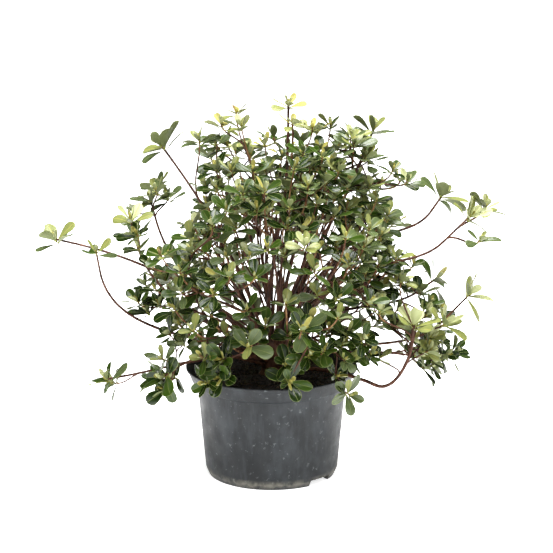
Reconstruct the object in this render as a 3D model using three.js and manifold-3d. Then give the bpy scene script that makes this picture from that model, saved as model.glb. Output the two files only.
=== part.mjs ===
// Evergreen azalea: an open, many-stemmed shrub rooted in a low round nursery pot of black plastic.
// Millimetres, +Z up. The origin is the centre of the pot's flat underside, and azimuth 0 is +X.
// A limb is one tapering bough. A mass is the spray of twigs and leaf whorls that grows from its tip.

import * as THREE from "three";
import { mergeVertices } from "three/addons/utils/BufferGeometryUtils.js";
import Module from "manifold-3d";

const wasm = await Module();
wasm.setup();

// ---------------------------------------------------------------- driving sizes

const CLEARANCE = 0.3; // between solids that touch on the real plant
const WELD = 1e-3; // points nearer than this are one point
const FRAME_STEPS = 60; // along a curve, for the frames that turn its rings
const BEAD_STEP = 2; // along a limb, between points tested for nearness
const STEM_ROOM = 6; // at its end, where its own mass may come near
const POT_MARGIN = 1; // between leaves and the pot or soil
const WELD_PASSES = 3;
const TRIANGLE = { side: Math.sqrt(3), height: 1.5 }; // drawn in a circle of radius 1

const pot = {
  height: 135,
  rimRadius: 105,
  lipFootRadius: 97,
  lipHeight: 19,
  ledgeDrop: 2.5, // the lip's underside slopes in to the wall over this height
  shoulderRadius: 91,
  heelRadius: 81,
  heelHeight: 8,
  baseRadius: 77.5,
  wall: 2.2,
  floor: 2.6,
  sides: 36,
};
const notch = { count: 2, azimuth: -41, width: 35, height: 7.5, depth: 19 }; // from the heel inwards
const soil = { crownHeight: 126, crownRadius: 32, edgeHeight: 119, wallGap: 0.75, notchSpare: 2, sides: 24 };
const trunk = {
  height: 40,
  footRadius: 17,
  neckRadius: 11,
  headRadius: 14.5,
  lean: 4,
  flareFade: 6, // how soon the root flare dies out up the trunk
  swellPlace: 0.8, // share of the height where the head is widest
  swellSpread: 0.22,
  topStart: 0.85, // from here the head rounds over
  topClosing: 0.45,
  flareLobes: 5,
  lobeDepth: 0.14,
  seatShare: 0.5, // of the radius, where a bough's centre line starts
  sides: 10,
  rings: 7,
};

// The crown's outer reach is measured from its heart, and grows from its skirt to its top.
const crown = { heartHeight: 167, skirtReach: 145, topReach: 283, fullness: 0.8 };
const bough = { sides: 5, steps: 5, rootHandle: 0.36, tipHandle: 0.36 };
const twig = {
  sides: 3,
  jointRadius: 1.35,
  tipRadius: 1.05,
  handle: 0.34,
  jointShare: 0.55, // of a twig's length, where further twigs may join it
  branches: 2, // that may join it there
  setBack: 0.9, // from one branch's start to the next
  turnCost: 1.6, // a joint that looks away from a tip costs more than one that faces it
  tries: 4,
  testSteps: 8,
};
const bud = { length: 5, radius: 2.7, neckShare: 0.88 }; // a twig swells to its bud past the neck
const leaf = {
  length: 46,
  width: 25,
  thickness: 1.4,
  widest: 0.64, // share of the length from root to the widest place
  arch: 0.05, // how far the widest place stands above the line from root to tip
  rootGap: 0.6, // from the shoot's axis, well inside the bud
  step: 0.6, // along the shoot from one leaf to the next
  perWhorl: 6,
  outerSpread: 98,
  innerSpread: 40,
  innerShare: 0.74,
  spreadStray: 16,
  sizeStray: 0.24,
  folds: [0, 26, 50],
};
const GOLDEN_ANGLE = 137.508;

// Three rings of boughs fill the crown. Elevation is seen from the crown's heart.
const crownRings = [
  { name: "skirt", count: 5, azimuth: 16, elevation: 15, leave: 34, foot: 0.34, space: 66 },
  { name: "shoulder", count: 4, azimuth: -40, elevation: 45, leave: 60, foot: 0.62, space: 76 },
  { name: "crest", count: 2, azimuth: 108, elevation: 69, leave: 78, foot: 0.86, space: 78 },
];
const ringBough = { endShare: 0.4, hubShare: 0.46, centreShare: 0.7, rootRadius: 3.3, tipRadius: 2.1 };
const arm = {
  count: 4,
  tilt: 40,
  share: 0.2, // of the crown's reach, for its length
  rootRadius: 1.8,
  tipRadius: 1.4,
  sides: 4,
  branches: 3,
  stray: 0.4,
};
const crownTips = {
  count: 57,
  lowestSine: -0.1,
  deepest: 0.36, // share of the reach that a whorl may lie below the crown's surface
  depthTurn: 0.7548776662, // never in step with the golden angle
  stray: 10,
  lift: 0.55, // how much a whorl turns up from straight outwards
  unrest: 0.5,
  drawIn: [0, 0.1, 0.2, 0.3], // shares of the way to its mass's centre, tried in turn
  leafRoom: 20, // wanted between a whorl and its mass's border
  seed: 1850,
  seedStep: 43,
};

// Long shoots that stand out of the crown. reach, height and azimuth place the first leaf whorl;
// leave and arrive are the slopes of the shoot where it starts and where its leaves begin.
// foot is the place on the trunk, from its cut (0) to its head (1), seat the side of the trunk where
// that isn't the tip's own, and more holds further whorls as [azimuth, reach, height]. rise turns
// the whorl up from the shoot's own slope.
const longShoots = [
  { name: "upper_left", azimuth: 163, reach: 140, height: 401, leave: 70, arrive: 52, foot: 0.8 },
  { name: "left_front", azimuth: 192, reach: 172, height: 327, leave: 32, arrive: 78, foot: 0.6 },
  { name: "left_back", azimuth: 160, reach: 158, height: 330, leave: 38, arrive: 74, foot: 0.56 },
  { name: "far_left", azimuth: 175, reach: 264, height: 288, leave: 44, arrive: 12, foot: 0.7, rise: 58 },
  { name: "left_arc", azimuth: 184, reach: 212, height: 281, leave: 20, arrive: 80, foot: 0.485 },
  { name: "low_left", azimuth: 196, reach: 207, height: 134, leave: 20, arrive: -6, foot: 0.32, rise: 58 },
  { name: "rim_left", azimuth: 217, reach: 160, height: 150, leave: 24, arrive: -20, foot: 0.22, rise: 26,
    more: [[211, 150, 128]], stem: 20 },
  { name: "leader", azimuth: 14, reach: 21, height: 459, leave: 82, arrive: 89, seat: -155, foot: 0.95,
    more: [[-39, 40, 446]], stem: 60, rootRadius: 3, tipRadius: 1.9 },
  { name: "top_right", azimuth: 20, reach: 132, height: 420, leave: 76, arrive: 66, seat: 44, foot: 0.9,
    more: [[-17, 103, 420], [18, 166, 355]], stem: 60, rootRadius: 2.8, tipRadius: 1.8 },
  { name: "high_right", azimuth: 8, reach: 210, height: 342, leave: 68, arrive: 55, seat: 12, foot: 0.76,
    rootHandle: 0.76, tipHandle: 0.24 },
  { name: "far_right", azimuth: -7, reach: 240, height: 330, leave: 60, arrive: 46, seat: -14, foot: 0.62,
    more: [[-2, 258, 336], [-12, 254, 306]], stem: 46, rootHandle: 0.7, tipHandle: 0.26 },
  { name: "mid_right", azimuth: 4, reach: 200, height: 240, leave: 52, arrive: 36, foot: 0.5,
    rootHandle: 0.56, tipHandle: 0.3 },
  { name: "low_right", azimuth: -13, reach: 243, height: 239, leave: 34, arrive: 48, foot: 0.4,
    more: [[-17, 218, 207]], stem: 44 },
  { name: "foot_right", azimuth: 13, reach: 204, height: 131, leave: 24, arrive: -10, foot: 0.12, rise: 18,
    more: [[4, 181, 156], [20, 182, 134]], stem: 40 },
  { name: "back_high", azimuth: 80, reach: 214, height: 304, leave: 56, arrive: 58, foot: 0.55 },
  { name: "back_low", azimuth: 116, reach: 196, height: 196, leave: 36, arrive: 40, foot: 0.5 },
];
const shootDefaults = {
  rootHandle: bough.rootHandle,
  tipHandle: bough.tipHandle,
  rootRadius: 2.4,
  tipRadius: 1.5,
  stem: 24, // between the limb's end and its first whorl
  rise: 0,
  room: 40, // round the whorls, that no crown mass enters
  claim: 85, // how far away the shoot's own twigs take up the crown's whorls
  extraRoom: 8, // for each further whorl
  jointShares: [0.15, 0.5], // of the stem, where further whorls join it
  leafScale: 0.8,
};

// The heavy shoot that dips over the rim and turns straight up. It is two limbs, split at the bend.
const curvedShoot = {
  name: "curved_right",
  azimuth: -31,
  foot: 0.2,
  dip: { reach: 146, height: 132, leave: 6, arrive: -14 },
  top: { azimuth: -25, reach: 187, height: 209, arrive: 86 },
  rootRadius: 3.5,
  bendRadius: 3.1,
  tipRadius: 2.6,
  stem: 20,
  room: 46,
  leafScale: 0.95,
  more: [[-20, 160, 200]],
};

// Whorls that hang over the rim or close the crown's outline, as [azimuth, reach, height].
const namedTips = [
  [-79, 114, 148], [-51, 124, 150], [-120, 122, 152], [-100, 118, 160], [-47, 136, 128],
  [-140, 47, 440], [158, 66, 418], [-166, 90, 404],
  [60, 90, 405], [-70, 80, 400],
];

// ---------------------------------------------------------------- vectors and random numbers

const UP = new THREE.Vector3(0, 0, 1);
const radians = THREE.MathUtils.degToRad;
const heart = new THREE.Vector3(0, 0, crown.heartHeight);

function polar(azimuth, reach, height) {
  const a = radians(azimuth);
  return new THREE.Vector3(reach * Math.cos(a), reach * Math.sin(a), height);
}

function direction(azimuth, elevation) {
  const e = radians(elevation);
  return polar(azimuth, Math.cos(e), Math.sin(e));
}

function along(start, way, distance) {
  return start.clone().addScaledVector(way, distance);
}

function seeded(seed) {
  let state = seed >>> 0;
  return () => {
    state = (state + 0x6d2b79f5) >>> 0;
    let mixed = Math.imul(state ^ (state >>> 15), state | 1);
    mixed ^= mixed + Math.imul(mixed ^ (mixed >>> 7), mixed | 61);
    return ((mixed ^ (mixed >>> 14)) >>> 0) / 4294967296;
  };
}

function acrossAxes(way) {
  const helper = Math.abs(way.z) > 0.9 ? new THREE.Vector3(1, 0, 0) : UP;
  const first = helper.clone().cross(way).normalize();
  return [first, way.clone().cross(first)];
}

function crownReach(elevationSine) {
  const growth = Math.max(0, elevationSine) ** crown.fullness;
  return crown.skirtReach + (crown.topReach - crown.skirtReach) * growth;
}

// ---------------------------------------------------------------- solids

function solidOf(geometry, weld = WELD / 10) {
  const bare = new THREE.BufferGeometry();
  bare.setAttribute("position", geometry.getAttribute("position"));
  bare.setIndex(geometry.index);
  const merged = mergeVertices(bare, weld);
  return new wasm.Manifold(
    new wasm.Mesh({
      numProp: 3,
      vertProperties: merged.attributes.position.array,
      triVerts: new Uint32Array(merged.index.array),
    }),
  );
}

function geometryOf(solid) {
  const mesh = solid.getMesh();
  const geometry = new THREE.BufferGeometry();
  geometry.setAttribute("position", new THREE.BufferAttribute(mesh.vertProperties, 3));
  geometry.setIndex(new THREE.BufferAttribute(mesh.triVerts, 1));
  geometry.computeVertexNormals();
  return geometry;
}

// A cylinder bent along a curve, with a ring at each share of its length. radiusAt gives the
// radius at a share and an angle.
function bentCylinder(curve, sides, shares, radiusAt) {
  const geometry = new THREE.CylinderGeometry(1, 1, 1, sides, shares.length - 1);
  const frames = curve.computeFrenetFrames(FRAME_STEPS);
  const places = geometry.getAttribute("position");
  for (let i = 0; i < places.count; i++) {
    const share = shares[Math.round((places.getY(i) + 0.5) * (shares.length - 1))];
    const frame = Math.round(share * FRAME_STEPS);
    const [x, z] = [places.getX(i), places.getZ(i)];
    const onAxis = Math.hypot(x, z) < 0.5;
    const radius = onAxis ? 0 : radiusAt(share, Math.atan2(z, x));
    const place = curve.getPointAt(share);
    place.addScaledVector(frames.normals[frame], x * radius);
    place.addScaledVector(frames.binormals[frame], -z * radius);
    places.setXYZ(i, place.x, place.y, place.z);
  }
  return geometry;
}

function evenShares(steps) {
  return Array.from({ length: steps + 1 }, (_, i) => i / steps);
}

function taperedTube(curve, rootRadius, tipRadius, sides, steps) {
  const taper = (share) => THREE.MathUtils.lerp(rootRadius, tipRadius, share);
  return bentCylinder(curve, sides, evenShares(steps), taper);
}

function turned(profile, sides) {
  const points = profile.map(([radius, height]) => new THREE.Vector2(radius, height));
  return new THREE.LatheGeometry(points, sides).rotateX(Math.PI / 2);
}

// ---------------------------------------------------------------- pot and soil

const lipFoot = pot.height - pot.lipHeight;
const ledgeFoot = lipFoot - pot.ledgeDrop;

function outerWallRadius(height) {
  const line = [
    [0, pot.baseRadius],
    [pot.heelHeight, pot.heelRadius],
    [ledgeFoot, pot.shoulderRadius],
    [lipFoot, pot.lipFootRadius],
    [pot.height, pot.rimRadius],
  ];
  const above = line.findIndex(([z]) => z >= height);
  if (above < 1) return above === 0 ? pot.baseRadius : 0;
  const [lowZ, lowR] = line[above - 1];
  const [highZ, highR] = line[above];
  return THREE.MathUtils.mapLinear(height, lowZ, highZ, lowR, highR);
}

function potSolid() {
  const wall = pot.wall;
  const profile = [
    [0, 0],
    [pot.baseRadius, 0],
    [pot.heelRadius, pot.heelHeight],
    [pot.shoulderRadius, ledgeFoot],
    [pot.lipFootRadius, lipFoot],
    [pot.rimRadius, pot.height],
    [pot.rimRadius - wall, pot.height],
    [pot.lipFootRadius - wall, lipFoot + wall],
    [pot.shoulderRadius - wall, ledgeFoot + wall],
    [pot.heelRadius - wall, pot.heelHeight],
    [pot.baseRadius - wall, pot.floor],
    [0, pot.floor],
  ];
  let solid = solidOf(turned(profile, pot.sides));
  for (const cutter of notchCutters(0)) solid = solid.subtract(cutter);
  return solid;
}

// Boxes that reach out through the heel of the pot. With some spare they clear the soil behind it.
function notchCutters(spare) {
  const inner = pot.heelRadius - notch.depth - spare;
  const outer = pot.heelRadius + notch.depth;
  return Array.from({ length: notch.count }, (_, i) => {
    const box = new THREE.BoxGeometry(outer - inner, notch.width + 2 * spare, 2 * (notch.height + spare));
    box.translate((inner + outer) / 2, 0, 0);
    return solidOf(box.rotateZ(radians(notch.azimuth + (360 * i) / notch.count)));
  });
}

function soilSolid() {
  const inset = pot.wall + soil.wallGap;
  const profile = [
    [0, pot.floor + CLEARANCE],
    [pot.baseRadius - inset, pot.floor + CLEARANCE],
    [pot.heelRadius - inset, pot.heelHeight],
    [pot.shoulderRadius - inset, ledgeFoot + pot.wall],
    [pot.lipFootRadius - inset, lipFoot + pot.wall + CLEARANCE],
    [pot.lipFootRadius - inset, soil.edgeHeight],
    [soil.crownRadius, soil.crownHeight],
    [0, soil.crownHeight],
  ];
  let solid = solidOf(turned(profile, soil.sides));
  for (const cutter of notchCutters(soil.notchSpare)) solid = solid.subtract(cutter);
  return solid;
}

// ---------------------------------------------------------------- trunk

const trunkFoot = soil.crownHeight + CLEARANCE;
const trunkAxis = new THREE.QuadraticBezierCurve3(
  new THREE.Vector3(0, 0, trunkFoot),
  new THREE.Vector3(0, 0, trunkFoot + trunk.height / 2),
  new THREE.Vector3(trunk.lean, 0, trunkFoot + trunk.height),
);

function trunkRadius(share, angle) {
  const flare = (trunk.footRadius - trunk.neckRadius) * Math.exp(-trunk.flareFade * share);
  const fromSwell = (share - trunk.swellPlace) / trunk.swellSpread;
  const swell = (trunk.headRadius - trunk.neckRadius) * Math.exp(-(fromSwell ** 2));
  const intoTop = Math.max(0, (share - trunk.topStart) / (1 - trunk.topStart));
  const lobes = 1 + trunk.lobeDepth * Math.cos(trunk.flareLobes * angle) * (1 - share) ** 3;
  return (trunk.neckRadius + flare + swell) * (1 - trunk.topClosing * intoTop ** 2) * lobes;
}

// With some spare the trunk grows on all sides but its foot, to cut seats for the boughs.
function trunkSolid(spare) {
  const stretch = 1 + spare / trunk.height;
  const radiusAt = (share, angle) => trunkRadius(share, angle) + spare;
  const geometry = bentCylinder(trunkAxis, trunk.sides, evenShares(trunk.rings), radiusAt);
  return solidOf(geometry.translate(0, 0, -trunkFoot).scale(1, 1, stretch).translate(0, 0, trunkFoot));
}

// A bough starts inside the trunk, part of the way out from the axis to the bark on its own side.
function boughStart(azimuth, foot) {
  return along(trunkAxis.getPoint(foot), direction(azimuth, 0), trunkRadius(foot, 0) * trunk.seatShare);
}

// ---------------------------------------------------------------- limbs

// The handles say how far a limb keeps its slope at each end, as shares of its span.
function limbCurve(start, leaveWay, end, arriveWay, { rootHandle, tipHandle } = bough) {
  const span = start.distanceTo(end);
  const leaving = along(start, leaveWay, span * rootHandle);
  return new THREE.CubicBezierCurve3(start, leaving, along(end, arriveWay, -span * tipHandle), end);
}

function ringLimbs() {
  const limbs = [];
  for (const ring of crownRings) {
    for (let i = 0; i < ring.count; i++) {
      const azimuth = ring.azimuth + (360 * i) / ring.count;
      const way = direction(azimuth, ring.elevation);
      const reach = crownReach(Math.sin(radians(ring.elevation)));
      const end = along(heart, way, reach * ringBough.endShare);
      const start = boughStart(azimuth, ring.foot);
      const curve = limbCurve(start, direction(azimuth, ring.leave), end, way);
      limbs.push({
        name: `${ring.name}_${i + 1}`,
        pieces: [{ curve, rootRadius: ringBough.rootRadius, tipRadius: ringBough.tipRadius }],
        heading: way,
        hub: along(heart, way, reach * ringBough.hubShare),
        centre: along(heart, way, reach * ringBough.centreShare),
        weight: ring.space ** 2,
        claim: Infinity,
        armLength: reach * arm.share,
        leafScale: 1,
        tips: [],
      });
    }
  }
  return limbs;
}

function shootLimb(given) {
  const shoot = { ...shootDefaults, more: [], ...given };
  const tip = polar(shoot.azimuth, shoot.reach, shoot.height);
  const way = direction(shoot.azimuth, shoot.arrive);
  const end = along(tip, way, -shoot.stem);
  const seat = shoot.seat ?? shoot.azimuth;
  const curve = limbCurve(boughStart(seat, shoot.foot), direction(seat, shoot.leave), end, way, shoot);
  const further = shoot.more.map((place) => polar(...place));
  const centre = further.reduce((sum, place) => sum.add(place), tip.clone());
  return {
    name: shoot.name,
    pieces: [{ curve, rootRadius: shoot.rootRadius, tipRadius: shoot.tipRadius }],
    heading: way,
    whorlHeading: direction(shoot.azimuth, shoot.arrive + shoot.rise),
    hub: tip,
    centre: centre.divideScalar(1 + further.length),
    room: shoot.room + shoot.extraRoom * further.length,
    claim: shoot.claim,
    leafScale: shoot.leafScale,
    tips: further,
  };
}

function curvedLimb() {
  const { azimuth, dip, top } = curvedShoot;
  const bend = polar(azimuth, dip.reach, dip.height);
  const bendWay = direction(azimuth, dip.arrive);
  const start = boughStart(azimuth, curvedShoot.foot);
  const lower = limbCurve(start, direction(azimuth, dip.leave), bend, bendWay);
  const tip = polar(top.azimuth, top.reach, top.height);
  const topWay = direction(top.azimuth, top.arrive);
  const end = along(tip, topWay, -curvedShoot.stem);
  const upperStart = along(bend, bendWay, CLEARANCE);
  const upper = limbCurve(upperStart, bendWay, end, topWay);
  const { rootRadius, bendRadius, tipRadius } = curvedShoot;
  return {
    name: curvedShoot.name,
    pieces: [
      { curve: lower, rootRadius, tipRadius: bendRadius },
      { curve: upper, rootRadius: bendRadius, tipRadius },
    ],
    heading: topWay,
    whorlHeading: topWay,
    hub: tip,
    centre: tip.clone(),
    room: curvedShoot.room,
    claim: shootDefaults.claim,
    leafScale: curvedShoot.leafScale,
    tips: curvedShoot.more.map((place) => polar(...place)),
  };
}

// ---------------------------------------------------------------- where leaves and twigs may be

// Beads are points along every limb, with the limb's radius there, for tests of nearness.
function limbBeads(limbs) {
  const beads = [];
  for (const limb of limbs) {
    for (const piece of limb.pieces) {
      const count = Math.ceil(piece.curve.getLength() / BEAD_STEP);
      for (let i = 0; i <= count; i++) {
        const radius = THREE.MathUtils.lerp(piece.rootRadius, piece.tipRadius, i / count);
        beads.push({ owner: limb.name, centre: piece.curve.getPointAt(i / count), radius });
      }
    }
  }
  return beads;
}

// Space is shared out among the masses by flat borders between their centres, which lie nearer to
// the mass of less weight. A shoot's weight keeps the crown's borders outside its own room.
function weighShoots(limbs) {
  const crownLimbs = limbs.filter((limb) => limb.armLength);
  for (const shoot of limbs.filter((limb) => limb.room)) {
    const weights = crownLimbs.map((other) => {
      const apart = shoot.centre.distanceTo(other.centre);
      return 2 * shoot.room * apart - apart ** 2 + other.weight;
    });
    shoot.weight = Math.max(shoot.room ** 2, ...weights);
  }
}

function insideSpace(point, home, limbs, margin) {
  const own = point.distanceToSquared(home.centre) - home.weight;
  return limbs.every((other) => {
    if (other === home) return true;
    const far = point.distanceToSquared(other.centre) - other.weight;
    return (far - own) / (2 * home.centre.distanceTo(other.centre)) > margin;
  });
}

function clearOfPot(point, margin) {
  const radius = Math.hypot(point.x, point.y);
  if (point.z > pot.height + margin) return true;
  if (point.z < margin) return false;
  if (radius > outerWallRadius(Math.max(point.z, 0)) + margin) return true;
  return point.z > soil.crownHeight + margin && radius < pot.lipFootRadius - pot.wall - margin;
}

function clearOfBeads(shape, reach, beads, margin) {
  const nearest = new THREE.Vector3();
  const bounds = new THREE.Sphere().setFromPoints(shape.corners);
  return beads.every((bead) => {
    if (bounds.distanceToPoint(bead.centre) > bead.radius + reach + margin) return true;
    return shape.faces.every((face) => {
      face.closestPointToPoint(bead.centre, nearest);
      return nearest.distanceTo(bead.centre) > bead.radius + reach + margin;
    });
  });
}

// ---------------------------------------------------------------- twigs and whorls of leaves

// Each further twig of a joint starts a little farther back, turned half way to its own tip.
function twigCurve(joint, tip, heading) {
  const start = along(joint.place, joint.way, -twig.setBack * (joint.branches + 0.5));
  const reach = start.distanceTo(tip);
  const way = along(joint.way, tip.clone().sub(start), 1 / reach).normalize();
  const span = reach * twig.handle;
  return new THREE.CubicBezierCurve3(start, along(start, way, span), along(tip, heading, -span), tip);
}

// A twig with the leaf bud that it ends in.
function buddedTube(curve, rootRadius, sides) {
  const end = curve.getPoint(1);
  const path = new THREE.CurvePath();
  path.add(curve);
  path.add(new THREE.LineCurve3(end, along(end, curve.getTangent(1), bud.length)));
  const shares = [0, bud.neckShare / 2, bud.neckShare, 1];
  const radii = [rootRadius, twig.jointRadius, twig.tipRadius, bud.radius];
  return bentCylinder(path, sides, shares, (share) => radii[shares.indexOf(share)]);
}

function twigFits(curve, home, limbs, beads) {
  const places = curve.getPoints(twig.testSteps);
  const margin = twig.jointRadius + CLEARANCE;
  if (!places.every((p) => insideSpace(p, home, limbs, margin) && clearOfPot(p, margin))) return false;
  return places.slice(1).every((place, i) => {
    const corners = [places[i], place, place.clone().lerp(places[i], 0.5)];
    const shape = { corners, faces: [new THREE.Triangle(...corners)] };
    return clearOfBeads(shape, twig.jointRadius, beads, CLEARANCE);
  });
}

// A tip joins the cheapest joint that it can reach by a free way, and leaves a new joint half way.
function joinTip(tip, heading, joints, home, limbs, beads) {
  const cost = (joint) => {
    const toTip = tip.clone().sub(joint.place);
    return toTip.length() * twig.turnCost - joint.way.dot(toTip);
  };
  const open = joints.filter((joint) => joint.branches < joint.most);
  open.sort((a, b) => cost(a) - cost(b));
  for (const joint of open.slice(0, twig.tries)) {
    const curve = twigCurve(joint, tip, heading);
    if (twigFits(curve, home, limbs, beads)) {
      joint.branches += 1;
      const [place, way] = [curve.getPoint(twig.jointShare), curve.getTangent(twig.jointShare)];
      joints.push({ place, way, branches: 0, most: twig.branches });
      return curve;
    }
  }
  return null;
}

// The leaves of a whorl, from the outermost, each with closer folds to try where it finds no room.
function whorl(tip, heading, scale, random) {
  const [first, second] = acrossAxes(heading);
  const phase = 360 * random();
  const leaves = [];
  for (let i = 0; i < leaf.perWhorl; i++) {
    const inner = i / (leaf.perWhorl - 1);
    const turn = radians(phase + i * GOLDEN_ANGLE);
    const out = first.clone().multiplyScalar(Math.cos(turn)).addScaledVector(second, Math.sin(turn));
    const bend = leaf.spreadStray * (random() - 0.5);
    const spread = THREE.MathUtils.lerp(leaf.outerSpread, leaf.innerSpread, inner) + bend;
    const size = scale * (1 + leaf.sizeStray * (random() - 0.5));
    const length = leaf.length * size * THREE.MathUtils.lerp(1, leaf.innerShare, inner);
    const folds = leaf.folds.map((fold) => {
      const tilt = radians(spread - fold);
      const way = heading.clone().multiplyScalar(Math.cos(tilt)).addScaledVector(out, Math.sin(tilt));
      const face = heading.clone().multiplyScalar(Math.sin(tilt)).addScaledVector(out, -Math.cos(tilt));
      const root = along(along(tip, heading, i * leaf.step), way, leaf.rootGap);
      return { root, way, face, length };
    });
    leaves.push(folds);
  }
  return leaves;
}

// A leaf is a three-sided cone drawn out: its foot is the root, its point the tip, and its rim has
// the two edges at the widest place and the ridge of the midrib.
function leafGeometry({ root, way, face, length }) {
  const across = way.clone().cross(face);
  const size = length / leaf.length;
  const geometry = new THREE.ConeGeometry(1, 1, 3);
  const places = geometry.getAttribute("position");
  for (let i = 0; i < places.count; i++) {
    const [x, y, z] = [places.getX(i), places.getY(i), places.getZ(i)];
    const onRim = Math.hypot(x, z) > 0.5;
    const share = onRim ? leaf.widest : y + 0.5;
    const lift = onRim ? leaf.arch * length + (z * leaf.thickness) / TRIANGLE.height : 0;
    const place = along(root, way, share * length);
    place.addScaledVector(across, (x * leaf.width * size) / TRIANGLE.side).addScaledVector(face, lift);
    places.setXYZ(i, place.x, place.y, place.z);
  }
  return geometry;
}

function leafFits(geometry, home, limbs, beads) {
  const places = geometry.getAttribute("position");
  const corners = [];
  for (let i = 0; i < places.count; i++) corners.push(new THREE.Vector3().fromBufferAttribute(places, i));
  const middles = corners.map((corner, i) => corner.clone().lerp(corners[(i + 1) % corners.length], 0.5));
  if (!corners.every((p) => insideSpace(p, home, limbs, CLEARANCE))) return false;
  if (![...corners, ...middles].every((p) => clearOfPot(p, POT_MARGIN))) return false;
  const faces = [];
  for (let i = 0; i < corners.length; i += 3) faces.push(new THREE.Triangle(...corners.slice(i, i + 3)));
  return clearOfBeads({ corners, faces }, 0, beads, CLEARANCE);
}

// ---------------------------------------------------------------- masses

// Spreads the crown's whorls evenly round it by the golden angle, each somewhat below its surface.
function spreadTips(count) {
  const random = seeded(crownTips.seed);
  const tips = [];
  for (let i = 0; i < count; i++) {
    const sine = THREE.MathUtils.lerp(crownTips.lowestSine, 1, (i + 0.5) / count);
    const azimuth = i * GOLDEN_ANGLE + crownTips.stray * (random() - 0.5);
    const elevation = THREE.MathUtils.radToDeg(Math.asin(sine));
    const depth = crownTips.deepest * ((i * crownTips.depthTurn) % 1);
    const reach = (crownReach(sine) - leaf.length / 2) * (1 - depth);
    tips.push(along(heart, direction(azimuth, elevation), reach));
  }
  return tips;
}

function tipHeading(tip, random) {
  const out = tip.clone().sub(heart).normalize();
  const stray = new THREE.Vector3(random() - 0.5, random() - 0.5, random() - 0.5);
  return out.addScaledVector(UP, crownTips.lift).addScaledVector(stray, crownTips.unrest).normalize();
}

// A crown mass's stem forks into arms, and a shoot's stem carries its first whorl and its joints.
function firstJoints(limb, stemStart, random) {
  if (!limb.armLength) {
    return shootDefaults.jointShares.map((share) => {
      const place = stemStart.clone().lerp(limb.hub, share);
      return { place, way: limb.heading, branches: 0, most: twig.branches };
    });
  }
  const [first, second] = acrossAxes(limb.heading);
  const joints = [];
  for (let i = 0; i < arm.count; i++) {
    const turn = (2 * Math.PI * (i + random() * arm.stray)) / arm.count;
    const out = first.clone().multiplyScalar(Math.cos(turn)).addScaledVector(second, Math.sin(turn));
    const way = limb.heading.clone().multiplyScalar(Math.cos(radians(arm.tilt)));
    way.addScaledVector(out, Math.sin(radians(arm.tilt)));
    const place = along(limb.hub, way, limb.armLength);
    joints.push({ place, way, branches: 0, most: arm.branches, isArm: true });
  }
  joints.push({ place: limb.hub, way: limb.heading, branches: 0, most: twig.branches });
  return joints;
}

function stemTube(limb, stemStart) {
  const { tipRadius } = limb.pieces[limb.pieces.length - 1];
  const stem = new THREE.LineCurve3(stemStart, limb.hub);
  if (!limb.armLength) return buddedTube(stem, tipRadius, arm.sides);
  return taperedTube(stem, tipRadius, arm.rootRadius, arm.sides, 1);
}

function armTube(limb, joint) {
  const curve = new THREE.LineCurve3(limb.hub, joint.place);
  return taperedTube(curve, arm.rootRadius, arm.tipRadius, twig.sides, 1);
}

// Grows a mass from the end of its limb: the stem, twigs to the tips, the arms in use, then leaves.
function massSolid(limb, limbs, beads, seed) {
  const random = seeded(seed);
  const end = limb.pieces[limb.pieces.length - 1].curve.getPoint(1);
  const stemStart = along(end, limb.heading, CLEARANCE);
  const isOwnEnd = (bead) => bead.owner === limb.name && bead.centre.distanceTo(stemStart) <= STEM_ROOM;
  const keepOff = beads.filter((bead) => !isOwnEnd(bead));
  const joints = firstJoints(limb, stemStart, random);
  const parts = [stemTube(limb, stemStart)];
  const whorls = limb.whorlHeading ? [[limb.hub, limb.whorlHeading]] : [];
  for (const tip of limb.tips) {
    const heading = tipHeading(tip, random);
    const curve = joinTip(tip, heading, joints, limb, limbs, keepOff);
    if (!curve) continue;
    parts.push(buddedTube(curve, twig.jointRadius, twig.sides));
    whorls.push([tip, heading]);
  }
  const armsInUse = joints.filter((joint) => joint.isArm && joint.branches > 0);
  parts.push(...armsInUse.map((joint) => armTube(limb, joint)));
  for (const [tip, heading] of whorls) {
    for (const folds of whorl(tip, heading, limb.leafScale, random)) {
      const fitting = folds.map(leafGeometry).find((geometry) => leafFits(geometry, limb, limbs, keepOff));
      if (fitting) parts.push(fitting);
    }
  }
  return fused(parts);
}

// Joins the parts, welds points that all but meet, and keeps the largest closed shell, so that no
// loose scrap and no sealed hollow is left.
function fused(parts) {
  let whole = parts.map((part) => solidOf(part));
  while (whole.length > 1) {
    const joined = [];
    for (let i = 0; i < whole.length; i += 2) {
      joined.push(i + 1 < whole.length ? whole[i].add(whole[i + 1]) : whole[i]);
    }
    whole = joined;
  }
  let body = whole[0];
  for (let pass = 0; pass < WELD_PASSES; pass++) {
    const shells = solidOf(geometryOf(body), WELD).decompose();
    body = shells.reduce((best, shell) => (shell.volume() > best.volume() ? shell : best));
  }
  return body;
}

// ---------------------------------------------------------------- the whole plant

function assignTips(limbs) {
  const places = [...namedTips.map((place) => polar(...place)), ...spreadTips(crownTips.count)];
  for (const place of places) {
    const home = limbs.find((limb) => insideSpace(place, limb, limbs, twig.jointRadius));
    if (home && home.centre.distanceTo(place) < home.claim) home.tips.push(drawnIn(place, home, limbs));
  }
}

// A whorl near a border is drawn in a little, so that more of its leaves find room.
function drawnIn(place, home, limbs) {
  for (const share of crownTips.drawIn) {
    const moved = place.clone().lerp(home.centre, share);
    if (insideSpace(moved, home, limbs, crownTips.leafRoom)) return moved;
  }
  return place;
}

const materials = {
  pot: new THREE.MeshStandardMaterial({ color: 0x4a4d50, roughness: 0.6, metalness: 0 }),
  soil: new THREE.MeshStandardMaterial({ color: 0x2a1e17, roughness: 1, metalness: 0 }),
  bark: new THREE.MeshStandardMaterial({ color: 0x6b4636, roughness: 0.85, metalness: 0 }),
  leaf: new THREE.MeshStandardMaterial({ color: 0x51694a, roughness: 0.45, metalness: 0 }),
};

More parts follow.
